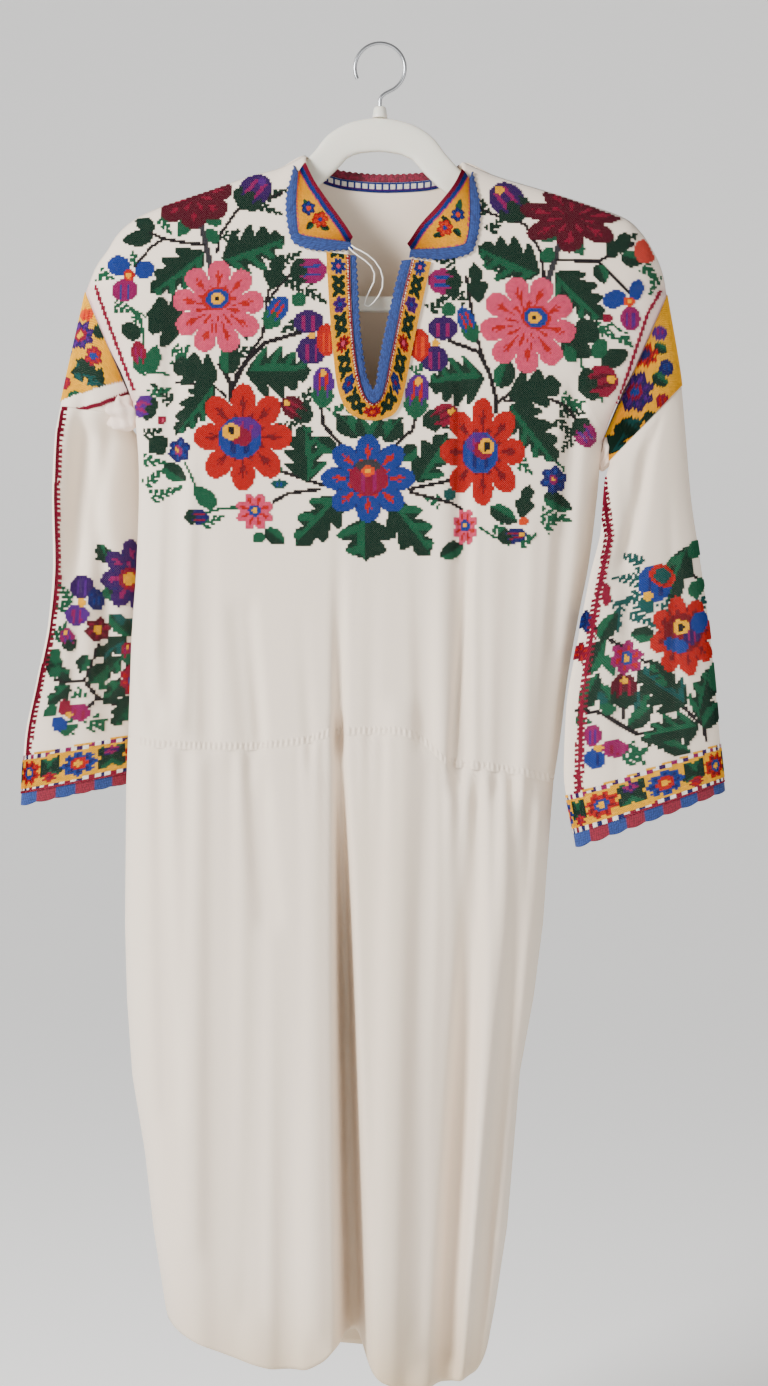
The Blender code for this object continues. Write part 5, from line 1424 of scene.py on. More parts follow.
LEFT_LEAVES = [
    (-259, -540, -240, -561, 8, 0, "teal", "leaf"), (-243, -544, -233, -562, 8, 0, "teal", "green"),
    (-244, -562, -271, -581, 10, 2, "teal", "green"), (-249, -581, -271, -603, 10, 2, "leaf", "green"),
    (-262, -589, -278, -606, 8, 0, "leaf", "green"), (-246, -603, -264, -626, 11, 2, "green", "leaf"),
    (-238, -618, -256, -648, 11, 3, "leaf", "green"), (-318, -582, -295, -603, 9, 2, "leaf", "green"),
    (-295, -608, -316, -626, 9, 2, "green", "leaf"), (-304, -576, -314, -582, 5, 0, "leaf"),
    (-304, -594, -315, -599, 5, 0, "leaf"), (-308, -628, -319, -638, 5, 0, "leaf"),
    (-281, -579, -286, -596, 6, 0, "leaf", "green"), (-260, -489, -271, -474, 9, 2, "green", "leaf"),
    (-262, -512, -256, -527, 7, 0, "green", "leaf"), (-241, -628, -233, -645, 9, 2, "green", "leaf"),
]
LEFT_STEMS = [
    ("stem", 2.6, [(-309, -604), (-282, -604), (-270, -620), (-254, -627), (-243, -622)]),
    ("stem", 2.4, [(-282, -604), (-275, -586), (-270, -570)]),
    ("stem", 2.4, [(-270, -620), (-277, -628), (-285, -634)]),
    ("stem", 2.4, [(-256, -613), (-244, -592), (-242, -584)]),
]
LEFT_SPRIGS = [
    (-279, -649, -262, -641, "leaf"), (-275, -640, -264, -651, "leaf"), (-304, -653, -288, -647, "leaf"),
    (-300, -644, -293, -656, "leaf"), (-309, -565, -298, -548, "leaf"), (-296, -527, -306, -512, "leaf"),
    (-306, -536, -294, -527, "leaf"), (-283, -613, -294, -620, "leaf"), (-264, -613, -269, -603, "leaf"),
]
RIGHT_FLOWERS = [
    (284, -562, 33, 38, 8, 0.2, 0.30, 1.8, "red", "dark_red", "dark_red"),
    (230, -583, 16, 16, 6, 0.2, 0.32, 2, "magenta", "red", ""),
    (193, -549, 9, 10, 6, 0, 0.30, 2, "navy", "blue", ""),
    (188, -578, 8, 9, 6, 0, 0.30, 2, "crimson", "red", ""),
]
RIGHT_ELLIPSES = [
    (257, -513, 16, 17, 0, "blue", "navy"), (264, -506, 13, 10, -20, "red", "dark_red"),
    (264, -506, 8, 7, 0, "teal"), (250, -525, 5, 4, 0, "yellow"),
    (284, -559, 19, 18, 0, "dark_red", "crimson"), (292, -559, 9, 11, 0, "purple", "magenta"),
    (277, -571, 12, 7, -15, "blue"), (300, -549, 8, 11, -20, "blue"),
    (282, -554, 8, 7, 0, "yellow"), (282, -554, 3, 4, 0, "stem"),
    (230, -583, 6, 6, 0, "blue"), (230, -583, 3, 3, 0, "yellow"),
    (211, -524, 4, 11, 0, "crimson"), (198, -655, 8, 10, 0, "magenta", "violet"),
    (219, -667, 12, 8, 0, "magenta", "crimson"), (200, -677, 10, 9, 0, "blue", "navy"),
    (204, -667, 4, 4, 0, "yellow"),
]
RIGHT_BUDS = [
    (228, -630, 228, -599, 13, "maroon", "crimson", "yellow", "green"),
]
RIGHT_LEAVES = [
    (289, -478, 270, -531, 14, 2, "green", "leaf"), (217, -628, 202, -606, 8, 0, "teal", "leaf"),
    (219, -633, 205, -628, 6, 0, "leaf"), (241, -633, 246, -612, 8, 0, "teal", "leaf"),
    (232, -648, 254, -629, 8, 0, "leaf", "green"), (205, -566, 221, -540, 8, 0, "leaf", "green"),
    (194, -598, 209, -564, 8, 0, "green", "leaf"), (188, -631, 204, -598, 8, 0, "leaf", "green"),
    (286, -628, 240, -595, 22, 4, "green", "teal"), (299, -646, 244, -659, 19, 4, "green", "leaf"),
    (299, -641, 310, -592, 14, 3, "leaf", "green"), (256, -562, 234, -560, 8, 0, "leaf", "green"),
    (290, -488, 305, -470, 7, 0, "leaf"), (291, -525, 305, -508, 7, 0, "leaf"),
    (304, -648, 320, -625, 8, 0, "leaf", "green"), (243, -529, 255, -540, 7, 0, "teal"),
    (273, -611, 253, -585, 9, 2, "leaf", "green"), (314, -613, 316, -585, 7, 0, "leaf"),
    (264, -664, 290, -671, 7, 0, "leaf", "green"), (210, -580, 217, -599, 5, 0, "leaf"),
]
RIGHT_STEMS = [
    ("stem", 2.6, [(201, -555), (206, -563), (225, -571)]), ("stem", 2.6, [(245, -586), (261, -588)]),
    ("stem", 3, [(183, -632), (206, -634), (225, -645), (237, -653), (251, -654)]),
    ("stem", 3, [(282, -626), (297, -642), (306, -646)]), ("stem", 2.6, [(303, -643), (306, -660)]),
    ("stem", 2.6, [(285, -501), (303, -510)]), ("stem", 2.6, [(228, -628), (227, -639)]),
]
RIGHT_SPRIGS = [
    (245, -495, 223, -484, "teal"), (241, -510, 216, -508, "teal"), (243, -524, 221, -534, "teal"),
    (234, -540, 264, -557, "teal"), (223, -530, 222, -560, "teal"), (229, -680, 253, -664, "leaf"),
    (232, -663, 246, -682, "leaf"), (262, -538, 270, -529, "teal"), (299, -533, 314, -525, "teal"),
    (183, -641, 197, -643, "leaf"), (260, -592, 270, -613, "leaf"), (206, -613, 197, -627, "leaf"),
    (290, -622, 279, -613, "leaf"),
]
BAND_LEFT_FLOWERS = [
    (-283, -277, 14, 14, 8, 0.2, 0.30, 2, "purple", "violet", "navy"),
    (-270, -298, 9, 10, 6, 0.2, 0.30, 2, "crimson", "red", ""),
]
BAND_LEFT_ELLIPSES = [
    (-277, -258, 7, 6, 0, "orange", "red"), (-283, -277, 6, 6, 0, "crimson"),
    (-283, -277, 3, 3, 0, "yellow"), (-270, -298, 4, 4, 0, "blue"),
    (-298, -290, 7, 8, 0, "navy", "blue"), (-292, -256, 6, 6, 0, "violet", "magenta"),
    (-298, -322, 6, 6, 0, "crimson", "red"),
]
BAND_LEFT_LEAVES = [
    (-260, -326, -287, -300, 11, 3, "teal", "green"), (-292, -311, -265, -317, 9, 2, "green", "teal"),
    (-267, -269, -260, -282, 7, 0, "leaf", "green"), (-296, -269, -304, -280, 7, 0, "leaf", "green"),
    (-271, -240, -264, -254, 6, 0, "leaf", "green"), (-283, -334, -296, -340, 7, 0, "green", "leaf"),
    (-256, -332, -244, -340, 6, 0, "green", "leaf"),
]
# The lower edge of the left band's stitches, and the crimson seam on the bare strip below it.
BAND_LEFT_EDGE = [(-303, -338), (-236, -318)]
BAND_LEFT_SEAM = [(-296, -349), (-267, -344), (-236, -331)]
BAND_RIGHT_FLOWERS = [
    (249, -297, 13, 12, 8, 0.2, 0.30, 2, "red", "dark_red", ""),
    (240, -332, 18, 20, 8, 0.1, 0.30, 2, "purple", "violet", "navy"),
]
BAND_RIGHT_ELLIPSES = [
    (243, -279, 8, 7, 0, "blue", "navy"), (249, -297, 5, 5, 0, "navy"),
    (240, -332, 7, 8, 0, "crimson", "magenta"), (240, -332, 4, 4, 0, "blue"),
    (264, -276, 7, 7, 0, "violet", "magenta"), (270, -309, 7, 8, 0, "navy", "blue"),
    (266, -341, 7, 7, 0, "crimson", "red"),
]
BAND_RIGHT_LEAVES = [
    (217, -390, 238, -355, 11, 3, "green", "teal"), (227, -358, 255, -379, 10, 2, "teal", "green"),
    (257, -315, 270, -327, 7, 0, "leaf", "green"), (232, -310, 223, -323, 7, 0, "leaf", "green"),
    (258, -287, 271, -295, 6, 0, "leaf", "green"), (234, -290, 227, -300, 6, 0, "leaf"),
    (248, -353, 262, -364, 7, 0, "green"),
]
CUFF_FLOWERS = [
    # place round the wrist, height over the edge, radius across, down, petals, turn, cut, point,
    # petal, vein, gap
    (22, 19, 14, 12, 8, 0, 0.32, 2, "red", "dark_red", ""),
    (66, 19, 13, 12, 8, 0.5, 0.32, 2, "blue", "navy", ""),
    (0, 26, 6, 5, 6, 0, 0.30, 2, "purple", "magenta", ""),
    (44, 11, 6, 5, 6, 0, 0.30, 2, "crimson", "red", ""),
    (88, 26, 6, 5, 6, 0, 0.30, 2, "purple", "magenta", ""),
]
CUFF_ELLIPSES = [
    # place, height, half width, half height, turn in degrees, colour, streaks
    (22, 19, 6, 6, 0, "blue"), (22, 19, 3, 3, 0, "yellow"),
    (66, 19, 6, 6, 0, "red"), (66, 19, 3, 3, 0, "yellow"),
]
CUFF_LEAVES = [
    # place, height of the stalk, place, height of the tip, half width, lobes, left side, right side
    (44, 19, 37, 30, 5, 0, "green", "leaf"), (44, 19, 52, 30, 5, 0, "leaf", "green"),
    (44, 19, 35, 14, 5, 0, "green"), (44, 19, 54, 14, 5, 0, "green", "leaf"),
    (0, 19, 9, 11, 5, 0, "green", "leaf"), (88, 19, 79, 11, 5, 0, "leaf", "green"),
    (0, 19, 8, 30, 5, 0, "leaf", "green"), (88, 19, 80, 30, 5, 0, "green", "leaf"),
]


def ring_cells(rings):
    """The cells of a tube's rings, with normals that point away from its middle."""
    corners, normals, centres = grid_cells(np.concatenate([rings, rings[:, :1]], axis=1))
    middle = np.broadcast_to(rings[:-1].mean(axis=1)[:, None], centres.shape).reshape(-1, 3)
    inwards = np.einsum("ij,ij->i", normals, centres.reshape(-1, 3) - middle) < 0
    return corners, np.where(inwards[:, None], -normals, normals), centres


def cuff_border(canvas, place, height):
    """The border over the wrist: white with rows of small dots at its two edges, and between them a yellow
    ground with the repeat of flowers."""
    border_canvas = np.full(canvas.shape, THREADS.index("yellow"))
    repeat = place % CUFF_REPEAT
    embroider(border_canvas, repeat, height, CUFF_LEAVES, [], [], [], CUFF_FLOWERS, CUFF_ELLIPSES)
    dots = place % (2 * CUFF_DOT) < CUFF_DOT
    for low, high, odd, even in ((2.0, 5.5, "crimson", "navy"), (32.5, 36.0, "magenta", "purple")):
        row = (height > low) & (height < high)
        lay(border_canvas, row, "white")
        lay(border_canvas, row & dots, odd)
        lay(border_canvas, row & dots & (place // (2 * CUFF_DOT) % 2 == 0), even)
    lay(border_canvas, height < 2.0, "crimson")
    inside = height < CUFF_BORDER
    canvas[inside] = border_canvas[inside]


def sleeve_embroidery(side, table, fold_table, motifs, band_motifs, seam, bare_below=()):
    """Stitches of one sleeve: its shoulder band, its lower half with the cuff border, and its seams."""
    last = len(table) - 1.0
    band = sleeve_rings(table, fold_table, np.linspace(0.02, BAND_SECTION, BAND_STITCH_ROWS), 92)
    corners, normals, centres = ring_cells(band)
    x, z = centres[..., 0], centres[..., 2]
    canvas = np.full(x.shape, THREADS.index("yellow"))
    embroider(canvas, x, z, *band_motifs)
    if bare_below:
        (x0, z0), (x1, z1) = bare_below
        canvas[z < z0 + (z1 - z0) * (x - x0) / (x1 - x0)] = BARE
        lay(canvas, near_line(x, z, BAND_SEAM_WIDTH, BAND_LEFT_SEAM), "crimson")
    cross_stitches(f"shoulder_embroidery_{side}", corners, normals, canvas.ravel())

    length = np.linalg.norm(np.array(table[-1][:3]) - np.array(table[1][:3]))
    girth = np.linalg.norm(np.array(table[-1][:3]) - np.array(table[-1][3:6])) * 2.05
    stations = np.linspace(BAND_SECTION, last, round(length / SLEEVE_STITCH))
    rings = sleeve_rings(table, fold_table, stations, round(girth / SLEEVE_STITCH))
    corners, normals, centres = ring_cells(rings)
    x, z = centres[..., 0], centres[..., 2]
    canvas = embroider(np.full(x.shape, BARE), x, z, *motifs)
    _, down = tube_lengths(rings)
    height = (down[-1:] - down)[:-1]
    place = np.broadcast_to(np.arange(rings.shape[1]) * girth / rings.shape[1], height.shape)
    cuff_border(canvas, place, height)
    if seam is None:
        width = np.linalg.norm(rings[:-1, rings.shape[1] // 2] - rings[:-1, 0], axis=-1)[:, None]
        from_edge = width * (1 - np.cos(2 * math.pi * place / girth)) / 2
        tooth = np.where(down[:-1] % SEAM_TOOTH < SEAM_TOOTH / 2, SEAM_TOOTH_WIDTH, 5.5)
        seam_line = (from_edge > 2.5) & (from_edge < tooth) & (place < girth / 2)
        lay(canvas, seam_line & (height > CUFF_BORDER), "crimson")
    else:
        tooth = (z % SEAM_TOOTH < SEAM_TOOTH / 2) & near_line(x, z, SEAM_TOOTH_WIDTH, seam)
        seam_line = (near_line(x, z, SEAM_WIDTH, seam) | tooth) & (place < girth / 2)
        lay(canvas, seam_line & (height > CUFF_BORDER), "crimson")
    cross_stitches(f"sleeve_embroidery_{side}", corners, normals, canvas.ravel())


RIGHT_SEAM = [(208, -405), (214, -470), (199, -547), (189, -622), (185, -697), (187, -751)]
left_motifs = (LEFT_LEAVES, LEFT_STEMS, LEFT_SPRIGS, LEFT_BUDS, LEFT_FLOWERS, LEFT_ELLIPSES)
left_band = (BAND_LEFT_LEAVES, [], [], [], BAND_LEFT_FLOWERS, BAND_LEFT_ELLIPSES)
right_motifs = (RIGHT_LEAVES, RIGHT_STEMS, RIGHT_SPRIGS, RIGHT_BUDS, RIGHT_FLOWERS, RIGHT_ELLIPSES)
right_band = (BAND_RIGHT_LEAVES, [], [], [], BAND_RIGHT_FLOWERS, BAND_RIGHT_ELLIPSES)
sleeve_embroidery(
    "left", SLEEVE_LEFT, SLEEVE_FOLDS_LEFT, left_motifs, left_band, None, BAND_LEFT_EDGE
)
sleeve_embroidery("right", SLEEVE_RIGHT, SLEEVE_FOLDS_RIGHT, right_motifs, right_band, RIGHT_SEAM)


# Slit band and its edge: a yellow embroidered border stitched on the panel round the slit, and inside it a
# narrow edge of blue crocheted shells, worked into the cut edge.
SLIT_EDGING_INNER = [
    # x, z
    (-21.7, -205.3), (-19.7, -241.2), (-18.2, -270.9), (-14.7, -300.6), (-12.3, -316.5), (-9.3, -325.4),
    (-5.9, -330.3), (-3.7, -322.4), (-1.9, -308.6), (1.5, -289.8), (6, -268), (12.9, -237.2),
    (19.8, -210.3),
]
SLIT_BAND_LIFT = 2.2
SLIT_BAND_WIDTH = 23
SLIT_BAND_CELLS = 17
SLIT_STEPS = 260
EDGING_LIFT = 1.2
SHELL_PITCH = 5.5
SHELL_DEPTH = 1.5
SLIT_FLOWERS = [
    # distance up from the foot, distance from the slit, radius along, across, petals, turn, cut,
    # point, petal, vein, gap
    (0, 12, 9, 8, 8, 0, 0.30, 2, "red", "crimson", ""),
    (37, 11.5, 8, 7.5, 6, 0.3, 0.30, 2, "navy", "blue", ""),
    (75, 11.5, 8, 7.5, 8, 0, 0.30, 2, "red", "dark_red", ""),
    (112, 11.5, 8, 7.5, 6, 0.3, 0.30, 2, "violet", "purple", ""),
    (148, 11.5, 8, 7.5, 8, 0, 0.30, 2, "blue", "navy", ""),
]
SLIT_ELLIPSES = [
    # distance up, distance from the slit, half length, half width, turn in degrees, colour, streaks
    (0, 12, 2.6, 2.6, 0, "orange", "yellow"), (37, 11.5, 2, 2, 0, "crimson"),
    (75, 11.5, 2.4, 2.4, 0, "pink"), (112, 11.5, 2, 2, 0, "blue"),
    (148, 11.5, 2, 2, 0, "pink"),
]
SLIT_LEAVES = [
    # distances of the stalk, distances of the tip, half width, lobes, colour
    (start + 14 * way, 12, start + tip * way, 12 + 7 * side, 2.5, 0, "green")
    for start in (0, 37, 75, 112, 148)
    for way in (1, -1)
    for tip, side in ((8, 1), (8, -1), (19, 1), (19, -1))
]


def on_front(flat, lift):
    """Points in x and z laid on the front panel and moved out of the dress by the lift."""
    x, z = flat[..., 0], flat[..., 1]
    step = 0.5
    slope_x = (front_y(x + step, z) - front_y(x - step, z)) / (2 * step)
    slope_z = (front_y(x, z + step) - front_y(x, z - step)) / (2 * step)
    normal = np.stack([slope_x, -np.ones_like(slope_x), slope_z], -1)
    normal = normal / np.linalg.norm(normal, axis=-1, keepdims=True)
    return np.stack([x, front_y(x, z), z], -1) + normal * np.broadcast_to(lift, x.shape)[..., None]


def sideways(flat, distance):
    """A line of points in x and z moved to the right of the way it runs."""
    step = np.gradient(flat, axis=0)
    step = step / np.linalg.norm(step, axis=1, keepdims=True)
    return flat + np.asarray(distance).reshape(-1, 1) * np.stack([step[:, 1], -step[:, 0]], -1)


def shells(line, towards):
    """The line drawn in between the shells of a crocheted edge, by their depth less a sine's height."""
    arches = np.abs(np.sin(math.pi * line_length(line) / SHELL_PITCH))
    return sideways(line, towards * SHELL_DEPTH * (1 - arches))


def strip_grid(first, last, lift, rows):
    """Points of a trim between two lines, laid on the front panel. The lift is highest along its middle."""
    share = np.linspace(0, 1, rows)[:, None]
    flat = first[None] + (last - first)[None] * share[..., None]
    return on_front(flat, lift * (0.75 + 0.25 * np.sin(math.pi * share)))


def trim_piece(
    name, grid, thickness, material, replaced
):
    """A trim of cloth or crochet from a grid of points that faces the front, with its wall and its map."""
    faces = grid_faces(*grid.shape[:2])
    points = grid.reshape(-1, 3)
    first = points[faces[:, :3]]
    turned = np.cross(first[:, 1] - first[:, 0], first[:, 2] - first[:, 0])[:, 1].mean() > 0
    obj = mesh_piece(name, points, faces[:, ::-1] if turned else faces, material)
    set_cloth(obj, cloth_lengths(grid), 0.0, 0.0)
    add_wall(obj, thickness)
    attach(obj, "root")
    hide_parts(*replaced)
    return obj


def front_stitches(name, grid, canvas):
    """Stitches over a trim's grid of points, with their normals out of the dress."""
    corners, normals, _ = grid_cells(grid)
    cross_stitches(name, corners, np.where(normals[:, 1:2] > 0, -normals, normals), canvas.ravel())


slit_path = np.array(SLIT_LEFT + [SLIT_FOOT] + SLIT_RIGHT[::-1])
slit_edge = along(slit_path, np.linspace(0, 1, SLIT_STEPS))
slit_shares = line_length(slit_edge) / line_length(slit_edge)[-1]
band_outer = along(SLIT_BAND_OUTER, slit_shares)
trim_piece(
    "slit_band_cloth", strip_grid(slit_edge, band_outer, SLIT_BAND_LIFT, 12), CLOTH, linen,
    ["slit_band"],
)
edging_crochet = crochet_material("cotton_crochet_blue", CROCHET_BLUE, CROCHET_BLUE_DARK, 0.3)
edging_inner = shells(along(SLIT_EDGING_INNER, slit_shares), 1)
edging_rows = strip_grid(sideways(slit_edge, -0.4), edging_inner, EDGING_LIFT, 9)
trim_piece(
    "slit_edging_crochet", edging_rows, TRIM_THICKNESS, edging_crochet,
    ["slit_edging"],
)
stitched = strip_grid(slit_edge, band_outer, SLIT_BAND_LIFT, SLIT_BAND_CELLS + 1)
middle_length = line_length((band_outer + slit_edge) / 2)
foot_at = middle_length[np.argmin(np.linalg.norm(slit_edge - SLIT_FOOT, axis=-1))]
up = np.abs(middle_length[:-1] - foot_at)[None].repeat(SLIT_BAND_CELLS, axis=0)
out = np.linspace(0, SLIT_BAND_WIDTH, SLIT_BAND_CELLS + 1)[:-1, None] + 0.7
out = out.repeat(up.shape[1], axis=1)
canvas = np.full(up.shape, THREADS.index("yellow"))
embroider(canvas, up, out, SLIT_LEAVES, [], [], [], SLIT_FLOWERS, SLIT_ELLIPSES)
lay(canvas, (out < 3.2), "white")
lay(canvas, (out < 3.2) & (up % 3.0 < 1.6), "crimson")
lay(canvas, (out < 1.7), "crimson")
lay(canvas, (out > 3.2) & (out < 4.6) & (up % 4.0 < 1.5), "red")
front_stitches("slit_band_embroidery", stitched, canvas)


# Collar: two turned-down wings of linen, their triangles filled with yellow stitches and two small flowers,
# bound blue and crimson at the neck side, with an edge of blue crocheted shells round the outside.
COLLAR_LEFT_NECK = [(-70.5, -116.7), (-61.3, -135.1), (-46.9, -156.7), (-30.5, -179.9), (-25.6, -188.4)]
COLLAR_LEFT_OUTER = [(-76.3, -126.3), (-78, -155.5), (-75.9, -183.9), (-51.2, -189.9), (-27.6, -192.9)]
COLLAR_LEFT_EDGE = [(-80.4, -119.3), (-87.9, -157.4), (-81.8, -191.8), (-54.2, -200.9), (-25.1, -199.9)]
COLLAR_RIGHT_NECK = [(77.5, -122.6), (70.3, -136.8), (55.4, -156.5), (37.6, -176.8), (25.7, -194.9)]
COLLAR_RIGHT_OUTER = [(83.3, -132.3), (84, -162.5), (79.9, -193.8), (55.3, -198.8), (28.6, -199.9)]
COLLAR_RIGHT_EDGE = [(86.9, -125.4), (93.9, -163.4), (85.9, -201.8), (56.2, -209.3), (27.2, -206.8)]
COLLAR_LIFT = 2.8
COLLAR_STEPS = 72
COLLAR_EDGING_STEPS = 200
COLLAR_MOTIFS = {
    # leaves, stems, sprigs, buds, flowers and ellipses of each wing
    "left": (
        [
            (-66, -166, -71, -152, 3, 0, "leaf"), (-60, -172, -53, -164, 3, 0, "green"),
            (-62, -174, -69, -181, 3, 0, "leaf", "green"), (-56, -178, -47, -181, 3, 0, "green", "leaf"),
        ],
        [], [], [],
        [
            (-67, -161, 7, 7, 6, 0, 0.3, 2, "navy", "blue", ""),
            (-56, -172, 8, 8, 6, 0.3, 0.3, 2, "red", "orange", ""),
        ],
        [(-67, -161, 2.2, 2.2, 0, "orange"), (-56, -172, 2.2, 2.2, 0, "blue")],
    ),
    "right": (
        [
            (72, -166, 76, -152, 3, 0, "leaf"), (66, -178, 58, -168, 3, 0, "green"),
            (69, -180, 76, -188, 3, 0, "leaf", "green"), (60, -184, 50, -188, 3, 0, "green", "leaf"),
        ],
        [], [], [],
        [
            (73, -167, 7, 7, 6, 0, 0.3, 2, "navy", "blue", ""),
            (61, -180, 8, 8, 6, 0.3, 0.3, 2, "red", "orange", ""),
        ],
        [(73, -167, 2.2, 2.2, 0, "orange"), (61, -180, 2.2, 2.2, 0, "blue")],
    ),
}


def distance_from(line, x, z):
    """The distance from places in x and z to the nearest middle of a line's steps."""
    middle_x, middle_z = (line[1:] + line[:-1]).T / 2
    return np.hypot(x[..., None] - middle_x, z[..., None] - middle_z).min(axis=-1)


for side, neck, outer, edge, towards in (
    ("left", COLLAR_LEFT_NECK, COLLAR_LEFT_OUTER, COLLAR_LEFT_EDGE, -1),
    ("right", COLLAR_RIGHT_NECK, COLLAR_RIGHT_OUTER, COLLAR_RIGHT_EDGE, 1),
):
    neck, outer, edge = (along(line, np.linspace(0, 1, COLLAR_STEPS)) for line in (neck, outer, edge))
    trim_piece(
        f"collar_{side}_cloth", strip_grid(neck, outer, COLLAR_LIFT, 14), CLOTH, linen,
        [f"collar_{side}"],
    )
    edging_at = np.linspace(0, 1, COLLAR_EDGING_STEPS)
    rim = shells(along(edge, edging_at), -towards)
    trim_piece(
        f"collar_edging_{side}_crochet", strip_grid(along(outer, edging_at), rim, COLLAR_LIFT, 9),
        TRIM_THICKNESS, edging_crochet,
        [f"collar_edging_{side}"],
    )
    wing = strip_grid(neck, outer, COLLAR_LIFT, 30)
    _, _, cells = grid_cells(wing)
    x, z = cells[..., 0], cells[..., 2]
    canvas = embroider(np.full(x.shape, THREADS.index("yellow")), x, z, *COLLAR_MOTIFS[side])
    from_neck, from_outer = distance_from(neck, x, z), distance_from(outer, x, z)
    lay(canvas, (from_outer < 1.4) & ((x + z) % 3.0 < 1.5), "pink")
    lay(canvas, from_neck < 8.5, "pink")
    lay(canvas, from_neck < 7.4, "blue")
    lay(canvas, from_neck < 3.6, "crimson")
    front_stitches(f"collar_{side}_embroidery", wing, canvas)


# Edge of the back neckline: crimson crochet standing on the cloth, with a row of white squares in blue
# thread below it.
NECK_EDGING_HEIGHT = 8.5
NECK_SQUARE = 6.4
NECK_STEPS = 160
NECK_LENGTH = 145
NECK_ROWS = 8
NECK_SQUARE_ROWS = 6
CROCHET_NECK = "#800F30"
CROCHET_NECK_DARK = "#640A24"

top_row = back_rows[0]
inside_neck = (top_row[:, 0] > NECK_LEFT[0] + 3) & (top_row[:, 0] < NECK_RIGHT[0] - 3)
neck_line = even_steps(top_row[inside_neck], NECK_STEPS)
from_ends = np.minimum(np.arange(NECK_STEPS), np.arange(NECK_STEPS)[::-1])
rise = np.linspace(1, 0, NECK_ROWS)[:, None] * NECK_EDGING_HEIGHT * np.clip(from_ends / 12, 0.15, 1.0)
arches = np.abs(np.sin(math.pi * np.linspace(0, NECK_LENGTH, NECK_STEPS) / SHELL_PITCH))
edge_rows = np.repeat(neck_line[None], NECK_ROWS, axis=0)
edge_rows[..., 2] += rise - (1 - arches) * SHELL_DEPTH * rise / NECK_EDGING_HEIGHT
neck_crochet = crochet_material("cotton_crochet_crimson", CROCHET_NECK, CROCHET_NECK_DARK, 0.4)
trim_piece(
    "neck_edging_crochet", edge_rows, TRIM_THICKNESS, neck_crochet,
    ["neck_edging"],
)
inside_rows = np.repeat(neck_line[None], NECK_SQUARE_ROWS + 1, axis=0)
inside_rows[..., 2] -= np.linspace(0, 1, NECK_SQUARE_ROWS + 1)[:, None] * 9.0 + 0.5
inside_rows[..., 1] = back_y(inside_rows[..., 0], inside_rows[..., 2]) - CLOTH - 0.15
squares = np.full((NECK_SQUARE_ROWS, NECK_STEPS - 1), THREADS.index("white"))
round_neck = np.linspace(0, NECK_LENGTH, NECK_STEPS - 1) % NECK_SQUARE
lay(squares, np.broadcast_to(round_neck, squares.shape) < 1.8, "blue")
squares[0] = squares[5] = THREADS.index("blue")
squares[4] = THREADS.index("violet")
front_stitches("neck_squares_embroidery", inside_rows, squares)


# Hanger: one moulding of cream plastic, an arch with sloping arms whose ends turn back into a straight bar,
# with a small knob on top that holds a bent steel wire hook.
HANGER_HALF_THICKNESS = 5.0
HANGER_TILT = 0.025
HANGER_STATIONS = 260
HANGER_SIDES = 28
HANGER_ROUNDING = 0.6
KNOB_SIDES = 40
KNOB_PROFILE = [
    # radius, z
    (0, -69.5), (7, -69.4), (7, -66.5), (6.6, -65.2), (6.2, -62), (5.6, -59.8), (4.6, -59.05), (0, -59),
]
HOOK_WIRE = 3.5
HOOK_RADIUS = 23.75
HANGER_CREAM = "#E6E0D2"
HOOK_METAL = "#B9BBBE"
HANGER_FRAME = [
    # x, z, half height
    (0, -85.5, 16), (20, -88, 15.5), (38, -96, 14.5), (54, -113.6, 13.5), (76, -132.5, 12.5),
    (100, -139.5, 12), (130, -146, 11.5), (165, -158, 11), (195, -170.5, 10.5),
    (213, -184, 9.5), (221, -199, 8.5), (220, -216, 7.5), (211, -234, 7.5),
    (193, -244, 7.5), (160, -246.5, 7.5), (80, -246.5, 7.5), (0, -246.5, 7.5),
]


def hanger_points():
    """Rings of the moulding round its closed line: rounded oblongs, a cosine and a sine each to a power."""
    x, z, half_height = columns(HANGER_FRAME)
    mirrored = ((x, -1), (z, 1), (half_height, 1))
    closed = np.stack([np.concatenate([half, half[1:-1][::-1] * sign]) for half, sign in mirrored], -1)
    knots = np.arange(-3, len(closed) + 4)
    at = np.linspace(0, len(closed), HANGER_STATIONS, endpoint=False)
    x, z, half_height = (smooth(knots, np.take(closed[:, k], knots, mode="wrap"), at) for k in range(3))
    z = z - HANGER_TILT * x
    step = np.stack([np.roll(x, -1) - np.roll(x, 1), np.roll(z, -1) - np.roll(z, 1)], -1)
    step = step / np.linalg.norm(step, axis=1, keepdims=True)
    turn = np.linspace(0, 2 * math.pi, HANGER_SIDES, endpoint=False) + math.pi / HANGER_SIDES
    side = np.sign(np.cos(turn)) * np.abs(np.cos(turn)) ** HANGER_ROUNDING
    thick = np.sign(np.sin(turn)) * np.abs(np.sin(turn)) ** HANGER_ROUNDING * HANGER_HALF_THICKNESS
    reach = half_height[:, None] * side
    x, z = x[:, None] - step[:, 1:] * reach, z[:, None] + step[:, :1] * reach
    return np.stack([x, np.broadcast_to(thick, reach.shape), z], -1)


def hook_path():
    """Stem, a bend to the right, then the arc over the top and down on the left."""
    centre = HOOK_WIRE / 2 - HOOK_RADIUS
    turn = np.radians(np.linspace(-58, 205, 90))
    arc = np.stack([HOOK_RADIUS * np.cos(turn), 0 * turn, centre + HOOK_RADIUS * np.sin(turn)], -1)
    stem = [(0.0, 0.0, -60.0), (0.0, 0.0, -53.0), (1.2, 0.0, -49.5), (5.0, 0.0, -46.0)]
    return np.concatenate([along(stem, np.linspace(0, 1, 16)), arc])


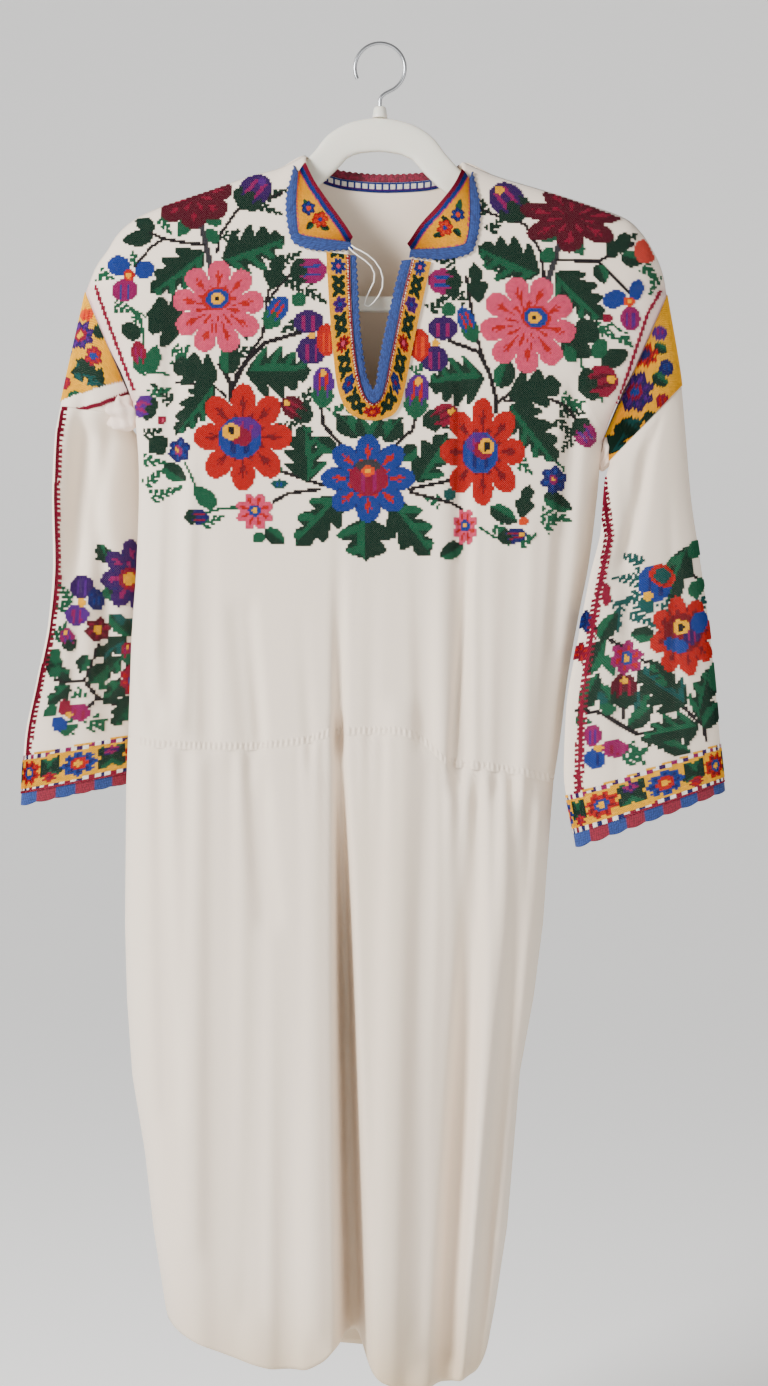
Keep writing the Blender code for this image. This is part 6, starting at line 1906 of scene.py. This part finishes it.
cream_plastic, _ = new_material("moulded_cream_plastic", HANGER_CREAM, 0.38, Subsurface_Weight=0.08)
ring_points = hanger_points()
frame_faces = grid_faces(HANGER_STATIONS + 1, HANGER_SIDES, closed=True) % (HANGER_STATIONS * HANGER_SIDES)
hanger = mesh_piece("hanger_moulding", ring_points.reshape(-1, 3), frame_faces[:, ::-1], cream_plastic)
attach(hanger, "root")
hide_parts("hanger_frame")

radii, heights = columns(KNOB_PROFILE)
turn = np.linspace(0, 2 * math.pi, KNOB_SIDES, endpoint=False)
round_knob = radii[:, None] * np.cos(turn), radii[:, None] * np.sin(turn)
knob_points = np.stack([*round_knob, np.repeat(heights[:, None], KNOB_SIDES, axis=1)], -1)
knob_faces = grid_faces(len(radii), KNOB_SIDES, closed=True)[:, ::-1]
knob = mesh_piece("hanger_knob_moulding", knob_points.reshape(-1, 3), knob_faces, cream_plastic, sharp=40)
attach(knob, "root")
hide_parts("hanger_knob")

steel, _ = new_material("drawn_steel_wire", HOOK_METAL, 0.28, Metallic=1.0)
hook = cord_curve("hook_wire", hook_path(), HOOK_WIRE, steel)
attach(hook, "root")
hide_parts("hanger_hook")


# Underarm gussets: small squares of linen let in below the armholes, which fold into soft rolls between the
# body and the sleeve.
GUSSETS = [
    # name, centre x, y, z, half width, half depth, half height, lean in degrees
    ("left", -245, -4, -349, 15, 10, 20, 34),
    ("right", 215, -3, -386, 6.5, 8, 20, -14),
]
GUSSET_STEPS = 48
GUSSET_BLEED = 0.25


def gusset_points(centre_x, centre_y, centre_z, half_width, half_depth, half_height, lean):
    """A ball of cloth with soft folds: its radius swells with a sine that twists round it."""
    up = np.linspace(-0.5, 0.5, GUSSET_STEPS) * math.pi
    turn = np.linspace(0, 2 * math.pi, GUSSET_STEPS, endpoint=False)
    up, turn = np.meshgrid(up, turn, indexing="ij")
    swell = 1 + 0.22 * np.sin(3 * turn + 5.0 * up) * np.cos(up) + 0.08 * np.sin(7 * turn - 4 * up)
    x = half_width * np.cos(up) * np.cos(turn) * swell
    y = half_depth * np.cos(up) * np.sin(turn) * swell
    z = half_height * np.sin(up)
    cosine, sine = math.cos(math.radians(lean)), math.sin(math.radians(lean))
    x, z = x * cosine - z * sine, x * sine + z * cosine
    return np.stack([centre_x + x, centre_y + y, centre_z + z], -1)


gusset_faces = grid_faces(GUSSET_STEPS, GUSSET_STEPS, closed=True)
for side, *place in GUSSETS:
    points = gusset_points(*place)
    gusset = mesh_piece(f"underarm_gusset_{side}", points.reshape(-1, 3), gusset_faces, linen)
    set_cloth(gusset, tube_lengths(points), GUSSET_BLEED, 0.0)
    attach(gusset, "root")


# The floor and its sweep behind the dress: a plain pale studio ground.
FLOOR_HEIGHT = -1.42
FLOOR_HALF_WIDTH = 8.0
FLOOR_FRONT = -8.0
WALL_BACK = 6.5
WALL_TOP = 6.0
SWEEP_RADIUS = 2.0
BACKDROP_GLOW = 0.42
BACKDROP_COLOUR = "#F4F3F1"


def sweep_profile(steps):
    """The ground's profile in y and z: flat, then a quarter circle, then straight up."""
    turn = np.linspace(0, math.pi / 2, steps)
    y = WALL_BACK - SWEEP_RADIUS * (1 - np.sin(turn))
    curve = np.stack([y, FLOOR_HEIGHT + SWEEP_RADIUS * (1 - np.cos(turn))], -1)
    return np.concatenate([[(FLOOR_FRONT, FLOOR_HEIGHT)], curve, [(WALL_BACK, WALL_TOP)]])


profile = sweep_profile(24)
sides = (-FLOOR_HALF_WIDTH, FLOOR_HALF_WIDTH)
ground_points = np.array([(side, y, z) for y, z in profile for side in sides])
paper, _ = new_material(
    "lit_paper_backdrop", BACKDROP_COLOUR, 0.95,
    Emission_Color=(1.0, 1.0, 1.0, 1.0), Emission_Strength=BACKDROP_GLOW,
)
ground = mesh_piece("studio_ground", ground_points / MM, grid_faces(len(profile), 2), paper)


# Plain soft studio light: a big soft light high on the left, a weaker one on the right, and a pale world.
WORLD_COLOUR = (0.94, 0.92, 0.90)
WORLD_STRENGTH = 0.32
LIGHTS = [
    # name, place, where it points, width, power in watts
    ("key_light", (-2.1, -1.7, 0.6), (0.0, 0.0, -0.6), 0.9, 168.0),
    ("fill_light", (1.9, -2.0, -0.2), (0.0, 0.0, -0.6), 1.8, 22.0),
]

world = bpy.data.worlds.new("pale_world")
bpy.context.scene.world = world
world.use_nodes = True
world.node_tree.nodes["Background"].inputs["Color"].default_value = (*WORLD_COLOUR, 1.0)
world.node_tree.nodes["Background"].inputs["Strength"].default_value = WORLD_STRENGTH

for light_name, light_place, light_target, light_width, light_power in LIGHTS:
    light_data = bpy.data.lights.new(light_name, "AREA")
    light_data.size = light_width
    light_data.energy = light_power
    light = bpy.data.objects.new(light_name, light_data)
    light.location = light_place
    towards = np.array(light_target) - np.array(light_place)
    tilt = math.acos(-towards[2] / np.linalg.norm(towards))
    light.rotation_euler = (tilt, 0.0, math.atan2(towards[1], towards[0]) - math.pi / 2)
    bpy.context.scene.collection.objects.link(light)
